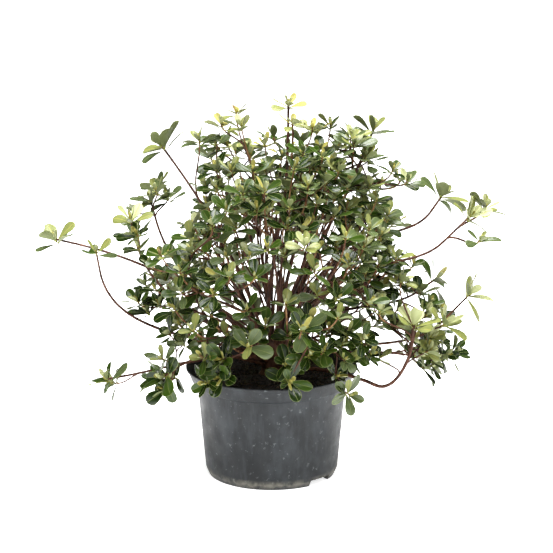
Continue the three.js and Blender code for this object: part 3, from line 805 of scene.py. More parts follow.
@dataclass
class CompostBed:
    """Crumbly compost that fills the pot, with crumbs, bark chips and fibres on top."""

    pot: Pot
    crown_height: float = 126.0
    crown_radius: float = 32.0
    edge_height: float = 119.0
    foot_height: float = 12.0
    inset: float = 3.0
    sink: float = 1.2
    ripple: float = 2.2
    ripple_mm: float = 16.0
    ripple_layer: float = 3.0
    fine_ripple: float = 0.6
    fine_ripple_mm: float = 5.0
    fine_ripple_layer: float = 9.0
    calm_edge: float = 8.0
    least_calm: float = 0.3
    rings: int = 34
    sides: int = 120
    crumbs: int = 900
    crumb_half: tuple[float, float] = (0.8, 2.6)
    crumb_inset: float = 3.0
    fibres: int = 170
    fibre_inset: float = 14.0
    fibre_length: tuple[float, float] = (6.0, 17.0)
    fibre_radius: tuple[float, float] = (0.25, 0.7)
    fibre_lift: tuple[float, float] = (0.1, 0.9)
    fibre_slope: float = 6.0
    fibre_sides: int = 4
    fibre_shares: tuple[float, ...] = (0.0, 0.35, 0.7, 1.0)
    seed: int = 77

    def edge(self) -> float:
        """The bed's radius at its top."""
        return self.pot.lip_foot_radius - self.inset

    def top(self, x: float, y: float) -> float:
        """The bed's height at a place.

        Args:
            x: The place to the right of the middle.
            y: The place behind the middle.

        Returns:
            The height.
        """
        radius = math.hypot(x, y)
        base = float(np.interp(radius, [self.crown_radius, self.edge()],
                               [self.crown_height, self.edge_height]))
        wave = noise.noise(Vector((x, y, self.ripple_layer)) / self.ripple_mm)
        fine = noise.noise(Vector((x, y, self.fine_ripple_layer)) / self.fine_ripple_mm)
        wave += self.fine_ripple * fine
        calm = min(1.0, (self.edge() - radius) / self.calm_edge + self.least_calm)
        return base - self.sink + self.ripple * wave * calm

    def bed(self, pile: Pile) -> None:
        """Adds the body of compost, closed below.

        Args:
            pile: The pile that it goes into.
        """
        pot, edge, foot = self.pot, self.edge(), self.foot_height
        shoulder = pot.lip_foot() - pot.ledge_drop
        turns = np.arange(self.sides) * 2 * math.pi / self.sides
        low = [(pot.outer_radius(foot) - self.inset, foot),
               (pot.shoulder_radius - self.inset, shoulder),
               (edge, shoulder + pot.ledge_drop + pot.wall)]
        rings = [np.array([[r * math.cos(a), r * math.sin(a), z] for a in turns]) for r, z in low]
        for radius in np.linspace(edge, 0.0, self.rings + 1)[:-1]:
            spots = [(radius * math.cos(a), radius * math.sin(a)) for a in turns]
            rings.append(np.array([[x, y, self.top(x, y)] for x, y in spots]))
        pile.add_rings(rings, [[0.0, 0.0, foot], [0.0, 0.0, self.top(0.0, 0.0)]])

    def scatter(self, pile: Pile) -> None:
        """Adds crumbs and fibres that lie half sunk in the bed.

        Args:
            pile: The pile that it goes into.
        """
        random = Seeded(self.seed)
        reach = self.edge() - self.crumb_inset
        faces = [[0, 1, 2], [1, 3, 2], [3, 4, 2], [4, 0, 2],
                 [1, 0, 5], [3, 1, 5], [4, 3, 5], [0, 4, 5]]
        for i in range(self.crumbs):
            spot = polar(360 * random.next(), reach * math.sqrt(random.next()), 0.0)
            spot[2] = self.top(spot[0], spot[1])
            size = np.array([random.between(*self.crumb_half) for _ in range(3)])
            corners = np.concatenate([np.diag(size), -np.diag(size)])
            towards = Vector((random.stray(1), random.stray(1), random.stray(1)))
            turn = Vector((1, 0, 0)).rotation_difference(towards)
            corners = corners @ np.array(turn.to_matrix()) + spot
            pile.add(corners, faces, [i % 2] * len(faces))
        for _ in range(self.fibres):
            turn = 360 * random.next()
            spot = polar(turn, (reach - self.fibre_inset) * math.sqrt(random.next()), 0.0)
            way = direction(360 * random.next(), random.stray(self.fibre_slope))
            length = random.between(*self.fibre_length)
            path = np.array([spot + way * length * share for share in self.fibre_shares])
            for point in path:
                point[2] = self.top(point[0], point[1]) + random.between(*self.fibre_lift)
            girth = random.between(*self.fibre_radius)
            radii = np.full((len(path), self.fibre_sides), girth)
            pile.add_tube(path, radii, [1] * (len(path) - 1))

    def build(self) -> None:
        """Makes and dresses the bed."""
        pile = Pile()
        self.bed(pile)
        self.scatter(pile)
        finishes = [Compost("peat_compost", ("#0e0b09", "#1d1713", "#33281f")),
                    Compost("peat_fibre", ("#1f1712", "#3a2c21", "#5b4634"))]
        ride(pile.build("compost", [finish.make() for finish in finishes]), ["soil"])


# ---------------------------------------------------------------- limbs


class Tint(Enum):
    """How a spray is coloured: the skins of its leaves from the outermost to the heart."""

    DEEP = (Skin.DEEP, Skin.DEEP, Skin.GREEN, Skin.HEART)
    GREEN = (Skin.GREEN, Skin.DEEP, Skin.GREEN, Skin.HEART)
    # These sprays' outer leaves take the grey-green skin with its painted sheen.
    GREY = (Skin.GREY, Skin.GREY, Skin.FRESH, Skin.LIME)
    FRESH = (Skin.GREY, Skin.GREEN, Skin.FRESH, Skin.LIME)
    LIME = (Skin.FRESH, Skin.FRESH, Skin.LIME, Skin.LIME)
    GOLD = (Skin.GREEN, Skin.GREEN, Skin.FRESH, Skin.HEART)
    BUFF = (Skin.FRESH, Skin.HEART, Skin.HEART, Skin.TAWNY)


# How often a tint is dealt out at the foot of the crown, and how much more often near its top. The
# deeper skins low down are partly painted shade, and the paler and sheen-grey skins high up partly
# painted light, of a crown lit from above.
TINT_ODDS = {
    Tint.DEEP: (0.64, -0.42),
    Tint.GREEN: (0.3, -0.06),
    Tint.GREY: (0.08, 0.18),
    Tint.FRESH: (0.04, 0.16),
    Tint.LIME: (-0.02, 0.1),
    Tint.GOLD: (0.09, 0.06),
}


@dataclass(frozen=True)
class Ring:
    """A ring of boughs that fills the crown; the elevation is seen from the crown's heart."""

    name: str
    count: int
    azimuth: float
    elevation: float
    leave: float
    foot: float
    space: float


@dataclass(frozen=True)
class Shoot:
    """A long shoot out of the crown, by its first spray's place and the slopes at its ends."""

    name: str
    azimuth: float
    reach: float
    height: float
    leave: float
    arrive: float
    foot: float
    tint: Tint
    rise: float = 0.0
    seat: float | None = None
    more: tuple[Triple, ...] = ()
    stem: float = 24.0
    root_radius: float = 2.4
    tip_radius: float = 1.5
    handles: tuple[float, float] = (0.36, 0.36)
    leaf_scale: float = 1.0
    girth: float = 1.25
    turn_cost: float = 1.6
    side_sprays: int = 0


@dataclass(frozen=True)
class CurvedShoot:
    """A heavy shoot that dips over the rim and turns straight up; its places are polar."""

    name: str = "curved_right"
    azimuth: float = -31.0
    foot: float = 0.2
    leave: float = 6.0
    bend: Triple = (-31.0, 146.0, 132.0)
    bend_slope: float = -14.0
    tip: Triple = (-25.0, 187.0, 209.0)
    tip_slope: float = 86.0
    further: Triple = (-20.0, 160.0, 200.0)
    stem: float = 20.0
    radii: Triple = (3.5, 3.1, 2.6)
    handles: tuple[float, float] = (0.36, 0.36)
    room: float = 46.0
    leaf_scale: float = 1.15
    slimness: float = 0.7
    tint: Tint = Tint.LIME


RINGS = (
    Ring("skirt", 5, 16, 15, 34, 0.34, 66),
    Ring("shoulder", 4, -40, 45, 60, 0.62, 76),
    Ring("crest", 2, 108, 69, 78, 0.86, 78),
)
SHOOTS = (
    Shoot("upper_left", 163, 140, 401, 70, 52, 0.8, Tint.GREY, leaf_scale=1.15),
    Shoot("left_front", 192, 172, 327, 32, 78, 0.6, Tint.LIME, side_sprays=1),
    Shoot("left_back", 160, 158, 330, 38, 74, 0.56, Tint.GREY, side_sprays=1),
    Shoot("far_left", 175, 264, 288, 44, 12, 0.7, Tint.FRESH, rise=58, leaf_scale=1.05),
    Shoot("left_arc", 184, 212, 281, 20, 80, 0.485, Tint.FRESH),
    Shoot("low_left", 196, 207, 134, 20, -6, 0.32, Tint.FRESH, rise=58, side_sprays=1),
    Shoot("rim_left", 217, 160, 150, 24, -20, 0.22, Tint.GREEN, rise=26, more=((211, 150, 128),),
          stem=20, leaf_scale=1.15, side_sprays=1),
    Shoot("leader", 14, 21, 459, 82, 89, 0.95, Tint.BUFF, seat=-155, more=((-39, 32, 442),),
          stem=60, root_radius=3, tip_radius=1.9, leaf_scale=0.8, girth=1.5, turn_cost=1.02),
    Shoot("top_right", 20, 132, 420, 76, 66, 0.9, Tint.GREY, seat=44,
          more=((-17, 103, 420), (18, 166, 355)), stem=60, root_radius=2.8, tip_radius=1.8),
    Shoot("high_right", 8, 210, 342, 68, 55, 0.76, Tint.GREY, seat=12, handles=(0.76, 0.24),
          leaf_scale=1.12),
    Shoot("far_right", -7, 240, 330, 60, 46, 0.62, Tint.LIME, seat=-14,
          more=((-2, 258, 336), (-12, 254, 306)), stem=46, handles=(0.7, 0.26)),
    Shoot("mid_right", 4, 200, 240, 52, 36, 0.5, Tint.GREEN, handles=(0.56, 0.3), leaf_scale=1.15),
    Shoot("low_right", -13, 243, 239, 34, 48, 0.4, Tint.LIME, more=((-17, 218, 207),), stem=44,
          leaf_scale=1.15),
    Shoot("foot_right", 13, 204, 131, 24, -10, 0.12, Tint.GREEN, rise=18,
          more=((4, 181, 156), (20, 182, 134)), stem=40),
    Shoot("back_high", 80, 214, 304, 56, 58, 0.55, Tint.GREY, side_sprays=1),
    Shoot("back_low", 116, 196, 196, 36, 40, 0.5, Tint.GREEN, side_sprays=1),
)
# Sprays that hang over the rim or close the crown's outline, as azimuth, reach and height.
NAMED_TIPS = (
    (-79, 114, 148), (-51, 124, 150), (-120, 122, 152), (-100, 118, 160), (-47, 136, 128),
    (-140, 47, 440), (158, 66, 418), (-166, 90, 404), (60, 90, 405), (-70, 80, 400),
)
# Small sprays that fill the crown's top, its right side, its low left and the front above the
# rim, as x, y and z.
FINER_TIPS = (
    (71, 20, 430), (95, -20, 426), (49, -10, 434), (89, 30, 402), (112, -25, 402), (146, 0, 380),
    (71, -40, 385), (164, 10, 364), (118, 40, 384), (-87, 0, 418), (-42, 10, 448), (58, -20, 410),
    (80, -12, 409), (50, -38, 392), (70, -50, 398), (100, 10, 420), (-60, 0, 436), (-8, -5, 414),
    (45, -60, 400), (60, -62, 410), (38, -45, 412), (55, 12, 425), (80, -62, 394), (36, -55, 380),
    (64, -75, 384), (92, -40, 372), (118, -30, 368), (125, -40, 352), (112, 10, 362),
    (105, 10, 354), (120, 0, 330), (141, -10, 281), (139, 0, 273), (133, -40, 268), (172, 0, 262),
    (140, -20, 262), (150, -10, 245), (133, -20, 238), (150, -50, 285), (128, -62, 280),
    (190, -40, 225), (200, -30, 214), (185, -52, 212), (181, -20, 233), (165, 20, 226),
    (152, -40, 218), (160, -30, 196), (190, -50, 186), (205, -20, 170), (180, -10, 182),
    (188, -70, 174), (210, -42, 160), (200, 0, 180), (176, -50, 162), (192, 12, 168),
    (222, -20, 158), (85, -95, 190), (100, -90, 178), (95, -80, 164), (118, -85, 174),
    (88, -102, 172), (110, -95, 196), (186, -30, 140), (192, 0, 132), (113, -75, 184),
    (165, -60, 186), (130, -70, 165), (183, -30, 168), (196, 10, 150), (198, -30, 148),
    (-130, -60, 140), (-142, -52, 132), (-118, -76, 142), (-130, 0, 244), (-163, -20, 222),
    (-150, -10, 205), (-124, -60, 192), (-107, -70, 182), (-78, -105, 144), (-52, -90, 196),
    (-25, -95, 200), (-7, -90, 212), (22, -95, 200), (45, -90, 218), (69, -85, 204),
)
# Open places of the crown, as x, the height seen from a little above, and the radius that stays
# free of sprays.
SKY = (
    (-109, 382, 34), (-128, 315, 27), (-100, 338, 20),
    (-130, 172, 20), (-18, 128, 18), (-48, 136, 10),
)


@dataclass
class Joint:
    """A place on a limb or twig where further twigs may join it."""

    place: np.ndarray
    way: np.ndarray
    most: int
    branches: int = 0
    is_arm: bool = False


@dataclass
class Stem:
    """A bough, stem or twig: its curve with the radius at both ends."""

    curve: Curve
    root_radius: float
    tip_radius: float

    def radii(self, shares: np.ndarray) -> np.ndarray:
        """The radii at some shares."""
        return self.root_radius + (self.tip_radius - self.root_radius) * shares


@dataclass
class Spray:
    """A whorl of leaves at a tip."""

    tip: np.ndarray
    heading: np.ndarray
    scale: float
    tint: Tint


@dataclass
class Limb:
    """A bough with the space and the tips of the mass that grows from it."""

    name: str
    stems: list[Stem]
    heading: np.ndarray
    hub: np.ndarray
    centre: np.ndarray
    claim: float = math.inf
    weight: float = 0.0
    room: float = 0.0
    arm_length: float = 0.0
    spray_heading: np.ndarray | None = None
    tint: Tint | None = None
    leaf_scale: float = 1.0
    girth: float = 1.0
    turn_cost: float = 1.6
    side_sprays: int = 0
    slimness: float = 0.82
    own_tips: int = 0
    tips: list[np.ndarray] = field(default_factory=list)
    finer: list[np.ndarray] = field(default_factory=list)
    twigs: list[Stem] = field(default_factory=list)
    sprays: list[Spray] = field(default_factory=list)

    def fills_crown(self) -> bool:
        """Whether it is one of the crown's boughs, not a long shoot."""
        return self.arm_length > 0

    def end(self) -> np.ndarray:
        """The place where its last stem ends."""
        return self.stems[-1].curve.end()

    def solids(self) -> list[str]:
        """The names of the bough's solids.

        Returns:
            One name, or two where the bough is split.
        """
        if len(self.stems) == 1:
            return [f"bough_{self.name}"]
        return [f"bough_{self.name}_{part}" for part in ("lower", "upper")]


@dataclass
class Stump:
    """The short knobbly trunk: lean, root flare and swollen head."""

    foot: float = 126.3
    height: float = 40.0
    foot_radius: float = 17.0
    neck_radius: float = 11.0
    head_radius: float = 14.5
    lean: float = 4.0
    flare_fade: float = 6.0
    swell_place: float = 0.8
    swell_spread: float = 0.22
    top_start: float = 0.85
    top_closing: float = 0.45
    lobes: int = 5
    lobe_depth: float = 0.14
    lobe_fade: int = 3
    seat_share: float = 0.5
    foot_sink: float = 2.5
    rings: int = 44
    sides: int = 40
    knob_mm: float = 9.0
    knob_reach: float = 12.0
    knob_depth: float = 1.3
    fine_knobs: float = 2.7
    fine_share: float = 0.5
    shrink: float = 0.5

    def axis(self, share: float) -> np.ndarray:
        """The axis at a share of the height."""
        return np.array([self.lean * share**2, 0.0, self.foot + self.height * share])

    def radius(self, share: float, angle: float) -> float:
        """The radius at a place on the axis and an angle round it.

        Args:
            share: The share of the height.
            angle: The angle, in radians.

        Returns:
            The radius.
        """
        flare = (self.foot_radius - self.neck_radius) * math.exp(-self.flare_fade * share)
        swell = math.exp(-(((share - self.swell_place) / self.swell_spread) ** 2))
        into_top = max(0.0, (share - self.top_start) / (1 - self.top_start))
        fade = (1 - share) ** self.lobe_fade
        lobes = 1 + self.lobe_depth * math.cos(self.lobes * angle) * fade
        plain = self.neck_radius + flare + (self.head_radius - self.neck_radius) * swell
        return plain * (1 - self.top_closing * into_top**2) * lobes

    def seat(self, azimuth: float, foot: float) -> np.ndarray:
        """Where a bough starts inside the trunk, on its own side of the axis."""
        return self.axis(foot) + direction(azimuth, 0) * self.radius(foot, 0) * self.seat_share

    def build(self, pile: Pile) -> None:
        """Adds the trunk with its bark's relief.

        Args:
            pile: The pile that it goes into.
        """
        shares = np.linspace(0, 1, self.rings)
        sunk = UP * self.foot_sink * (1 - shares)[:, None]
        path = np.array([self.axis(s) for s in shares]) - sunk
        radii = np.empty((self.rings, self.sides))
        for i, share in enumerate(shares):
            for j in range(self.sides):
                angle = 2 * math.pi * j / self.sides
                x, y = math.cos(angle) * self.knob_reach, math.sin(angle) * self.knob_reach
                spot = Vector((x, y, share * self.height)) / self.knob_mm
                relief = noise.noise(spot) + self.fine_share * noise.noise(spot * self.fine_knobs)
                radii[i, j] = self.radius(share, angle) + self.knob_depth * relief - self.shrink
        pile.add_tube(path, radii, [0] * (self.rings - 1))


# ---------------------------------------------------------------- the plant


@dataclass
class Crown:
    """The whole growth above the trunk: limbs, the space of each mass, twigs and sprays."""

    pot: Pot
    stump: Stump
    # The crown's surface, by its reach from the heart at the skirt and at the top.
    heart_height: float = 167.0
    skirt_reach: float = 145.0
    top_reach: float = 283.0
    fullness: float = 0.8
    # The boughs, by shares of that reach; the shoots' own room and claim.
    bough_share: float = 0.4
    hub_share: float = 0.46
    centre_share: float = 0.7
    arm_share: float = 0.2
    bough_radii: tuple[float, float] = (3.3, 2.1)
    bough_handles: tuple[float, float] = (0.36, 0.36)
    shoot_claim: float = 85.0
    shoot_room: float = 40.0
    room_per_tip: float = 8.0
    shoot_slimness: float = 0.92
    # The sprays: how many, how deep in the crown, how they look and where they stay away.
    main_count: int = 57
    finer_count: int = 345
    lowest_sine: float = -0.1
    sine_steps: int = 200
    leaf_reach: float = 23.0
    deepest: float = 0.36
    finer_deepest: float = 0.34
    finer_evenness: float = 1.8
    depth_turn: float = 0.7548776662
    azimuth_stray: float = 10.0
    lift: float = 0.55
    finer_lift: float = 1.3
    lift_heights: tuple[float, float] = (150.0, 230.0)
    unrest: float = 0.5
    draw_in: tuple[float, ...] = (0.0, 0.1, 0.2, 0.3)
    leaf_room: float = 20.0
    spray_gap: float = 17.0
    named_gap: float = 0.6
    finer_eagerness: float = 0.7
    named_eagerness: float = 1.5
    bed_height: float = 126.0
    bare_height: float = 182.0
    bare_radius: float = 128.0
    bare_leader: float = 30.0
    leader_bare_from: float = 345.0
    view_slope: float = 0.264
    belt: tuple[float, float] = (-0.05, 0.6)
    belt_share: float = 0.42
    window_half: float = 95.0
    window_heights: tuple[float, float] = (180.0, 330.0)
    window_share: int = 2
    side_reach: tuple[float, float] = (20.0, 30.0)
    side_tilt: tuple[float, float] = (75.0, 120.0)
    hub_scale: float = 1.18
    finer_scale: float = 0.92
    scale_range: tuple[float, float] = (0.88, 1.12)
    # The heights over which the skins go from painted shade low down to painted light high up.
    tint_foot: float = 130.0
    tint_span: float = 300.0
    own_tint_share: float = 0.5
    # The twigs: where they join, how they bend, how thick they are and what they keep clear of.
    arms: int = 4
    arm_tilt: float = 40.0
    arm_stray: float = 0.4
    arm_radii: tuple[float, float] = (1.35, 1.05)
    arm_most: tuple[int, int] = (3, 6)
    stem_joints: tuple[float, ...] = (0.15, 0.5)
    shoot_joints: tuple[float, ...] = (0.5, 0.65, 0.8, 0.9)
    bough_joints: tuple[float, ...] = (0.06, 0.12, 0.18, 0.25, 0.33, 0.45, 0.6)
    plain_most: int = 2
    finer_most: int = 3
    joint_share: float = 0.55
    set_back: float = 0.9
    tries: int = 4
    handle: float = 0.34
    stem_handle: float = 0.3
    finer_turn_cost: float = 1.02
    finer_free_from: float = 0.25
    checks: int = 9
    joint_radius: float = 1.35
    clearance: float = 0.3
    stem_room: float = 6.0
    stem_sink: float = 0.5
    bough_stem: tuple[float, float] = (0.8, 0.6)
    shoot_stem: tuple[float, float] = (1.0, 0.85)
    least_radius: float = 1.0
    twig_root: float = 0.95
    twig_growth: float = 0.003
    twig_tip: float = 0.9
    bead_step: float = 2.0
    seed: int = 1850
    seed_step: int = 43
    finer_seed: int = 9041
    side_seed_step: int = 31
    limbs: list[Limb] = field(default_factory=list)
    centres: np.ndarray = field(init=False)
    weights: np.ndarray = field(init=False)
    bead_places: np.ndarray = field(init=False)
    bead_radii: np.ndarray = field(init=False)
    bead_owners: np.ndarray = field(init=False)

    def grow(self) -> None:
        """Grows limbs, shares out the space and lets each mass grow its twigs and sprays."""
        shoots = map(self.shoot_limb, SHOOTS)
        self.limbs = [*self.ring_limbs(), *shoots, self.curved_limb(CurvedShoot())]
        self.weigh_shoots()
        self.centres = np.array([limb.centre for limb in self.limbs])
        self.weights = np.array([limb.weight for limb in self.limbs])
        self.share_tips()
        self.lay_beads()
        for index, limb in enumerate(self.limbs):
            self.grow_mass(limb, index)

    def heart(self) -> np.ndarray:
        """The crown's heart, which the reach is measured from."""
        return UP * self.heart_height

    def reach(self, sine: float) -> float:
        """The crown's reach from its heart at the sine of an elevation."""
        rise = (self.top_reach - self.skirt_reach) * max(0.0, sine) ** self.fullness
        return self.skirt_reach + rise

    # -------- limbs

    def ring_limbs(self) -> list[Limb]:
        """Lays out the boughs that fill the crown.

        Returns:
            Their limbs, ring by ring.
        """
        limbs = []
        for ring in RINGS:
            reach = self.reach(math.sin(math.radians(ring.elevation)))
            for i in range(ring.count):
                azimuth = ring.azimuth + 360 * i / ring.count
                way = direction(azimuth, ring.elevation)
                curve = bent(self.stump.seat(azimuth, ring.foot), direction(azimuth, ring.leave),
                             self.heart() + way * reach * self.bough_share, way,
                             self.bough_handles)
                limbs.append(Limb(
                    f"{ring.name}_{i + 1}", [Stem(curve, *self.bough_radii)], way,
                    hub=self.heart() + way * reach * self.hub_share,
                    centre=self.heart() + way * reach * self.centre_share,
                    weight=ring.space**2, arm_length=reach * self.arm_share))
        return limbs

    def shoot_limb(self, shoot: Shoot) -> Limb:
        """Lays out a long shoot.

        Args:
            shoot: The shoot.

        Returns:
            Its limb.
        """
        tip = polar(shoot.azimuth, shoot.reach, shoot.height)
        way = direction(shoot.azimuth, shoot.arrive)
        seat = shoot.azimuth if shoot.seat is None else shoot.seat
        curve = bent(self.stump.seat(seat, shoot.foot), direction(seat, shoot.leave),
                     tip - way * shoot.stem, way, shoot.handles)
        further = [polar(*place) for place in shoot.more]
        return Limb(
            shoot.name, [Stem(curve, shoot.root_radius, shoot.tip_radius)], way, hub=tip,
            centre=np.mean([tip, *further], axis=0), claim=self.shoot_claim,
            room=self.shoot_room + self.room_per_tip * len(further),
            spray_heading=direction(shoot.azimuth, shoot.arrive + shoot.rise), tint=shoot.tint,
            leaf_scale=shoot.leaf_scale, girth=shoot.girth, turn_cost=shoot.turn_cost,
            side_sprays=shoot.side_sprays, slimness=self.shoot_slimness,
            own_tips=len(further), tips=further)

    def curved_limb(self, shoot: CurvedShoot) -> Limb:
        """Lays out the curved shoot.

        Args:
            shoot: The shoot.

        Returns:
            Its limb of two stems, split at the bend.
        """
        bend, bend_way = polar(*shoot.bend), direction(shoot.bend[0], shoot.bend_slope)
        tip, top_way = polar(*shoot.tip), direction(shoot.tip[0], shoot.tip_slope)
        seat = self.stump.seat(shoot.azimuth, shoot.foot)
        leave = direction(shoot.azimuth, shoot.leave)
        lower = bent(seat, leave, bend, bend_way, shoot.handles)
        upper = bent(bend + bend_way * self.clearance, bend_way, tip - top_way * shoot.stem,
                     top_way, shoot.handles)
        root, middle, end = shoot.radii
        return Limb(
            shoot.name, [Stem(lower, root, middle), Stem(upper, middle, end)], top_way, hub=tip,
            centre=tip.copy(), claim=self.shoot_claim, room=shoot.room, spray_heading=top_way,
            tint=shoot.tint, leaf_scale=shoot.leaf_scale, slimness=shoot.slimness,
            own_tips=1, tips=[polar(*shoot.further)])

    # -------- space

    def weigh_shoots(self) -> None:
        """Gives each shoot the weight that keeps the crown's borders outside its own room."""
        boughs = [limb for limb in self.limbs if limb.fills_crown()]
        for shoot in (limb for limb in self.limbs if limb.room):
            apart = [float(np.linalg.norm(shoot.centre - other.centre)) for other in boughs]
            needed = [2 * shoot.room * d - d**2 + other.weight for d, other in zip(apart, boughs)]
            shoot.weight = max(shoot.room**2, *needed)

    def inside_space(self, points: np.ndarray, home: Limb, margin: float) -> bool:
        """Whether points lie in a mass's own space.

        Args:
            points: The points.
            home: The mass's limb.
            margin: How far within the borders.

        Returns:
            True if all of them do.
        """
        power = ((points[:, None, :] - self.centres) ** 2).sum(2) - self.weights
        apart = np.linalg.norm(self.centres - home.centre, axis=1)
        others = apart > SAME_PLACE
        own = ((points - home.centre) ** 2).sum(1) - home.weight
        return bool(((power[:, others] - own[:, None]) / (2 * apart[others]) > margin).all())

    def clear_of_pot(self, points: np.ndarray, margin: float) -> bool:
        """Whether points keep off the pot and the compost.

        Args:
            points: The points.
            margin: How far.

        Returns:
            True if all of them do.
        """
        for x, y, z in points:
            radius = math.hypot(x, y)
            if z > self.pot.height + margin:
                continue
            outside = z > margin and radius > self.pot.outer_radius(max(z, 0.0)) + margin
            within_lip = radius < self.pot.lip_foot_radius - self.pot.wall - margin
            if not (outside or (z > self.bed_height + margin and within_lip)):
                return False
        return True

    def lay_beads(self) -> None:
        """Lays points along every limb, for tests of nearness."""
        places, radii, owners = [], [], []
        for index, limb in enumerate(self.limbs):
            for stem in limb.stems:
                count = math.ceil(stem.curve.length() / self.bead_step)
                shares = np.linspace(0, 1, count + 1)
                places.append(stem.curve.at(shares))
                radii.append(stem.radii(shares))
                owners.append(np.full(count + 1, index))
        self.bead_places, self.bead_radii = np.concatenate(places), np.concatenate(radii)
        self.bead_owners = np.concatenate(owners)

    def clear_of_beads(self, points: np.ndarray, margin: float, keep: np.ndarray) -> bool:
        """Whether points keep off the limbs.

        Args:
            points: The points.
            margin: How far.
            keep: The beads to keep off.

        Returns:
            True if all of them do.
        """
        apart = np.linalg.norm(points[:, None, :] - self.bead_places[keep], axis=2)
        return bool((apart - self.bead_radii[keep] > margin).all())

    # -------- tips

    def spread_tips(self, count: int, deepest: float, seed: int,
                    evenness: float) -> list[np.ndarray]:
        """Spreads sprays round the crown by the golden angle.

        Args:
            count: How many.
            deepest: Share of the reach that a spray may lie below the crown's surface.
            seed: Seed of the azimuths' stray.
            evenness: 0 spreads them evenly as seen from the heart, 2 evenly over the surface.

        Returns:
            The places.
        """
        random = Seeded(seed)
        tips = []
        sines = np.linspace(self.lowest_sine, 1, self.sine_steps)
        in_belt = (sines > self.belt[0]) & (sines < self.belt[1]) & (evenness > 0)
        shares = np.where(in_belt, self.belt_share, 1.0)
        filled = np.cumsum([self.reach(sine) ** evenness for sine in sines] * shares)
        filled = (filled - filled[0]) / (filled[-1] - filled[0])
        for i in range(count):
            sine = float(np.interp((i + 0.5) / count, filled, sines))
            azimuth = i * GOLDEN_ANGLE + self.azimuth_stray * (random.next() - 0.5)
            depth = deepest * ((i * self.depth_turn) % 1)
            reach = (self.reach(sine) - self.leaf_reach) * (1 - depth)
            elevation = math.degrees(math.asin(sine))
            tips.append(self.heart() + direction(azimuth, elevation) * reach)
        return tips

    def home_of(self, place: np.ndarray, eagerness: float = 1.0) -> Limb | None:
        """Finds the limb whose space holds a place.

        Args:
            place: The place.
            eagerness: How much farther than its claim the limb may reach.

        Returns:
            The limb, or None where no limb claims the place.
        """
        for limb in self.limbs:
            if self.inside_space(place[None, :], limb, self.joint_radius):
                near = np.linalg.norm(limb.centre - place) < limb.claim * eagerness
                return limb if near else None
        return None

    def drawn_in(self, place: np.ndarray, home: Limb) -> np.ndarray:
        """Moves a spray near a border in a little, where that gives its leaves room.

        Args:
            place: The spray's place.
            home: The mass's limb.

        Returns:
            The new place, or the old one where nothing helps.
        """
        for share in self.draw_in:
            moved = place + (home.centre - place) * share
            if self.inside_space(moved[None, :], home, self.leaf_room):
                return moved
        return place

    def share_tips(self) -> None:
        """Deals the named, the main and the finer tips out to the limbs."""
        taken = [limb.hub for limb in self.limbs if not limb.fills_crown()]
        taken += [tip for limb in self.limbs for tip in limb.tips]
        main = [polar(*place) for place in NAMED_TIPS]
        main += self.spread_tips(self.main_count, self.deepest, self.seed, 0.0)
        for place in main:
            home = self.home_of(place)
            if home and not self.beside_leader(place) and not self.in_sky(place):
                grown = home.tips if home.fills_crown() else home.finer
                grown.append(self.drawn_in(place, home))
                taken.append(grown[-1])
        for limb in self.limbs:
            taken += self.beside(limb)
        finer = [np.array(place, float) for place in FINER_TIPS]
        finer += self.spread_tips(self.finer_count, self.finer_deepest, self.finer_seed,
                                  self.finer_evenness)
        for number, place in enumerate(finer):
            is_named = number < len(FINER_TIPS)
            is_windowed = self.in_window(place) and number % self.window_share > 0
            if not is_named and (is_windowed or self.stays_bare(place)):
                continue
            home = self.home_of(place, self.named_eagerness if is_named else self.finer_eagerness)
            gap = self.named_gap * self.spray_gap if is_named else self.spray_gap
            if home and np.linalg.norm(np.array(taken) - place, axis=1).min() > gap:
                home.finer.append(place)
                taken.append(place)

    def stays_bare(self, place: np.ndarray) -> bool:
        """Whether no spray grows at a place.

        Args:
            place: The place.

        Returns:
            True over the compost, beside the leader's stem and in the open parts.
        """
        if place[2] < self.bare_height and math.hypot(place[0], place[1]) < self.bare_radius:
            return True
        return self.beside_leader(place) or self.in_sky(place)

    def in_window(self, place: np.ndarray) -> bool:
        """Whether a place lies before the fan of stems, which shows between few sprays.

        Args:
            place: The place.

        Returns:
            True if it does.
        """
        low, high = self.window_heights
        return place[1] < 0 and abs(place[0]) < self.window_half and low < place[2] < high

    def in_sky(self, place: np.ndarray) -> bool:
        """Whether a place lies in an open part of the crown.

        Args:
            place: The place.

        Returns:
            True if it does.
        """
        seen = place[2] + self.view_slope * place[1]
        return any(math.hypot(place[0] - x, seen - height) < radius for x, height, radius in SKY)

    def beside_leader(self, place: np.ndarray) -> bool:
        """Whether a place lies beside the leader's bare stem.

        Args:
            place: The place.

        Returns:
            True if it does.
        """
        leader = next(limb.hub for limb in self.limbs if limb.name == "leader")
        apart = math.hypot(place[0] - leader[0], place[1] - leader[1])
        return place[2] > self.leader_bare_from and apart < self.bare_leader

    def beside(self, limb: Limb) -> list[np.ndarray]:
        """Gives a long shoot its small sprays beside its first one.

        Args:
            limb: The shoot's limb.

        Returns:
            Their places.
        """
        seed = self.finer_seed + len(limb.name) * self.side_seed_step + int(limb.hub[2])
        random = Seeded(seed)
        places = []
        for i in range(limb.side_sprays):
            turn = math.radians(GOLDEN_ANGLE * i) + 2 * math.pi * random.next()
            way, _ = fan_out(limb.heading, turn, math.radians(random.between(*self.side_tilt)))
            places.append(limb.hub + way * random.between(*self.side_reach))
        limb.finer += places
        return places

    def tip_heading(self, tip: np.ndarray, random: Seeded, lift: float) -> np.ndarray:
        """The way in which a spray looks: outwards, upwards and a little astray.

        Args:
            tip: The spray's place.
            random: The mass's random numbers.
            lift: How much upwards.

        Returns:
            The way, at length 1.
        """
        out = unit(tip - self.heart())
        stray = np.array([random.next() - 0.5, random.next() - 0.5, random.next() - 0.5])
        return unit(out + UP * lift + stray * self.unrest)

    # -------- twigs

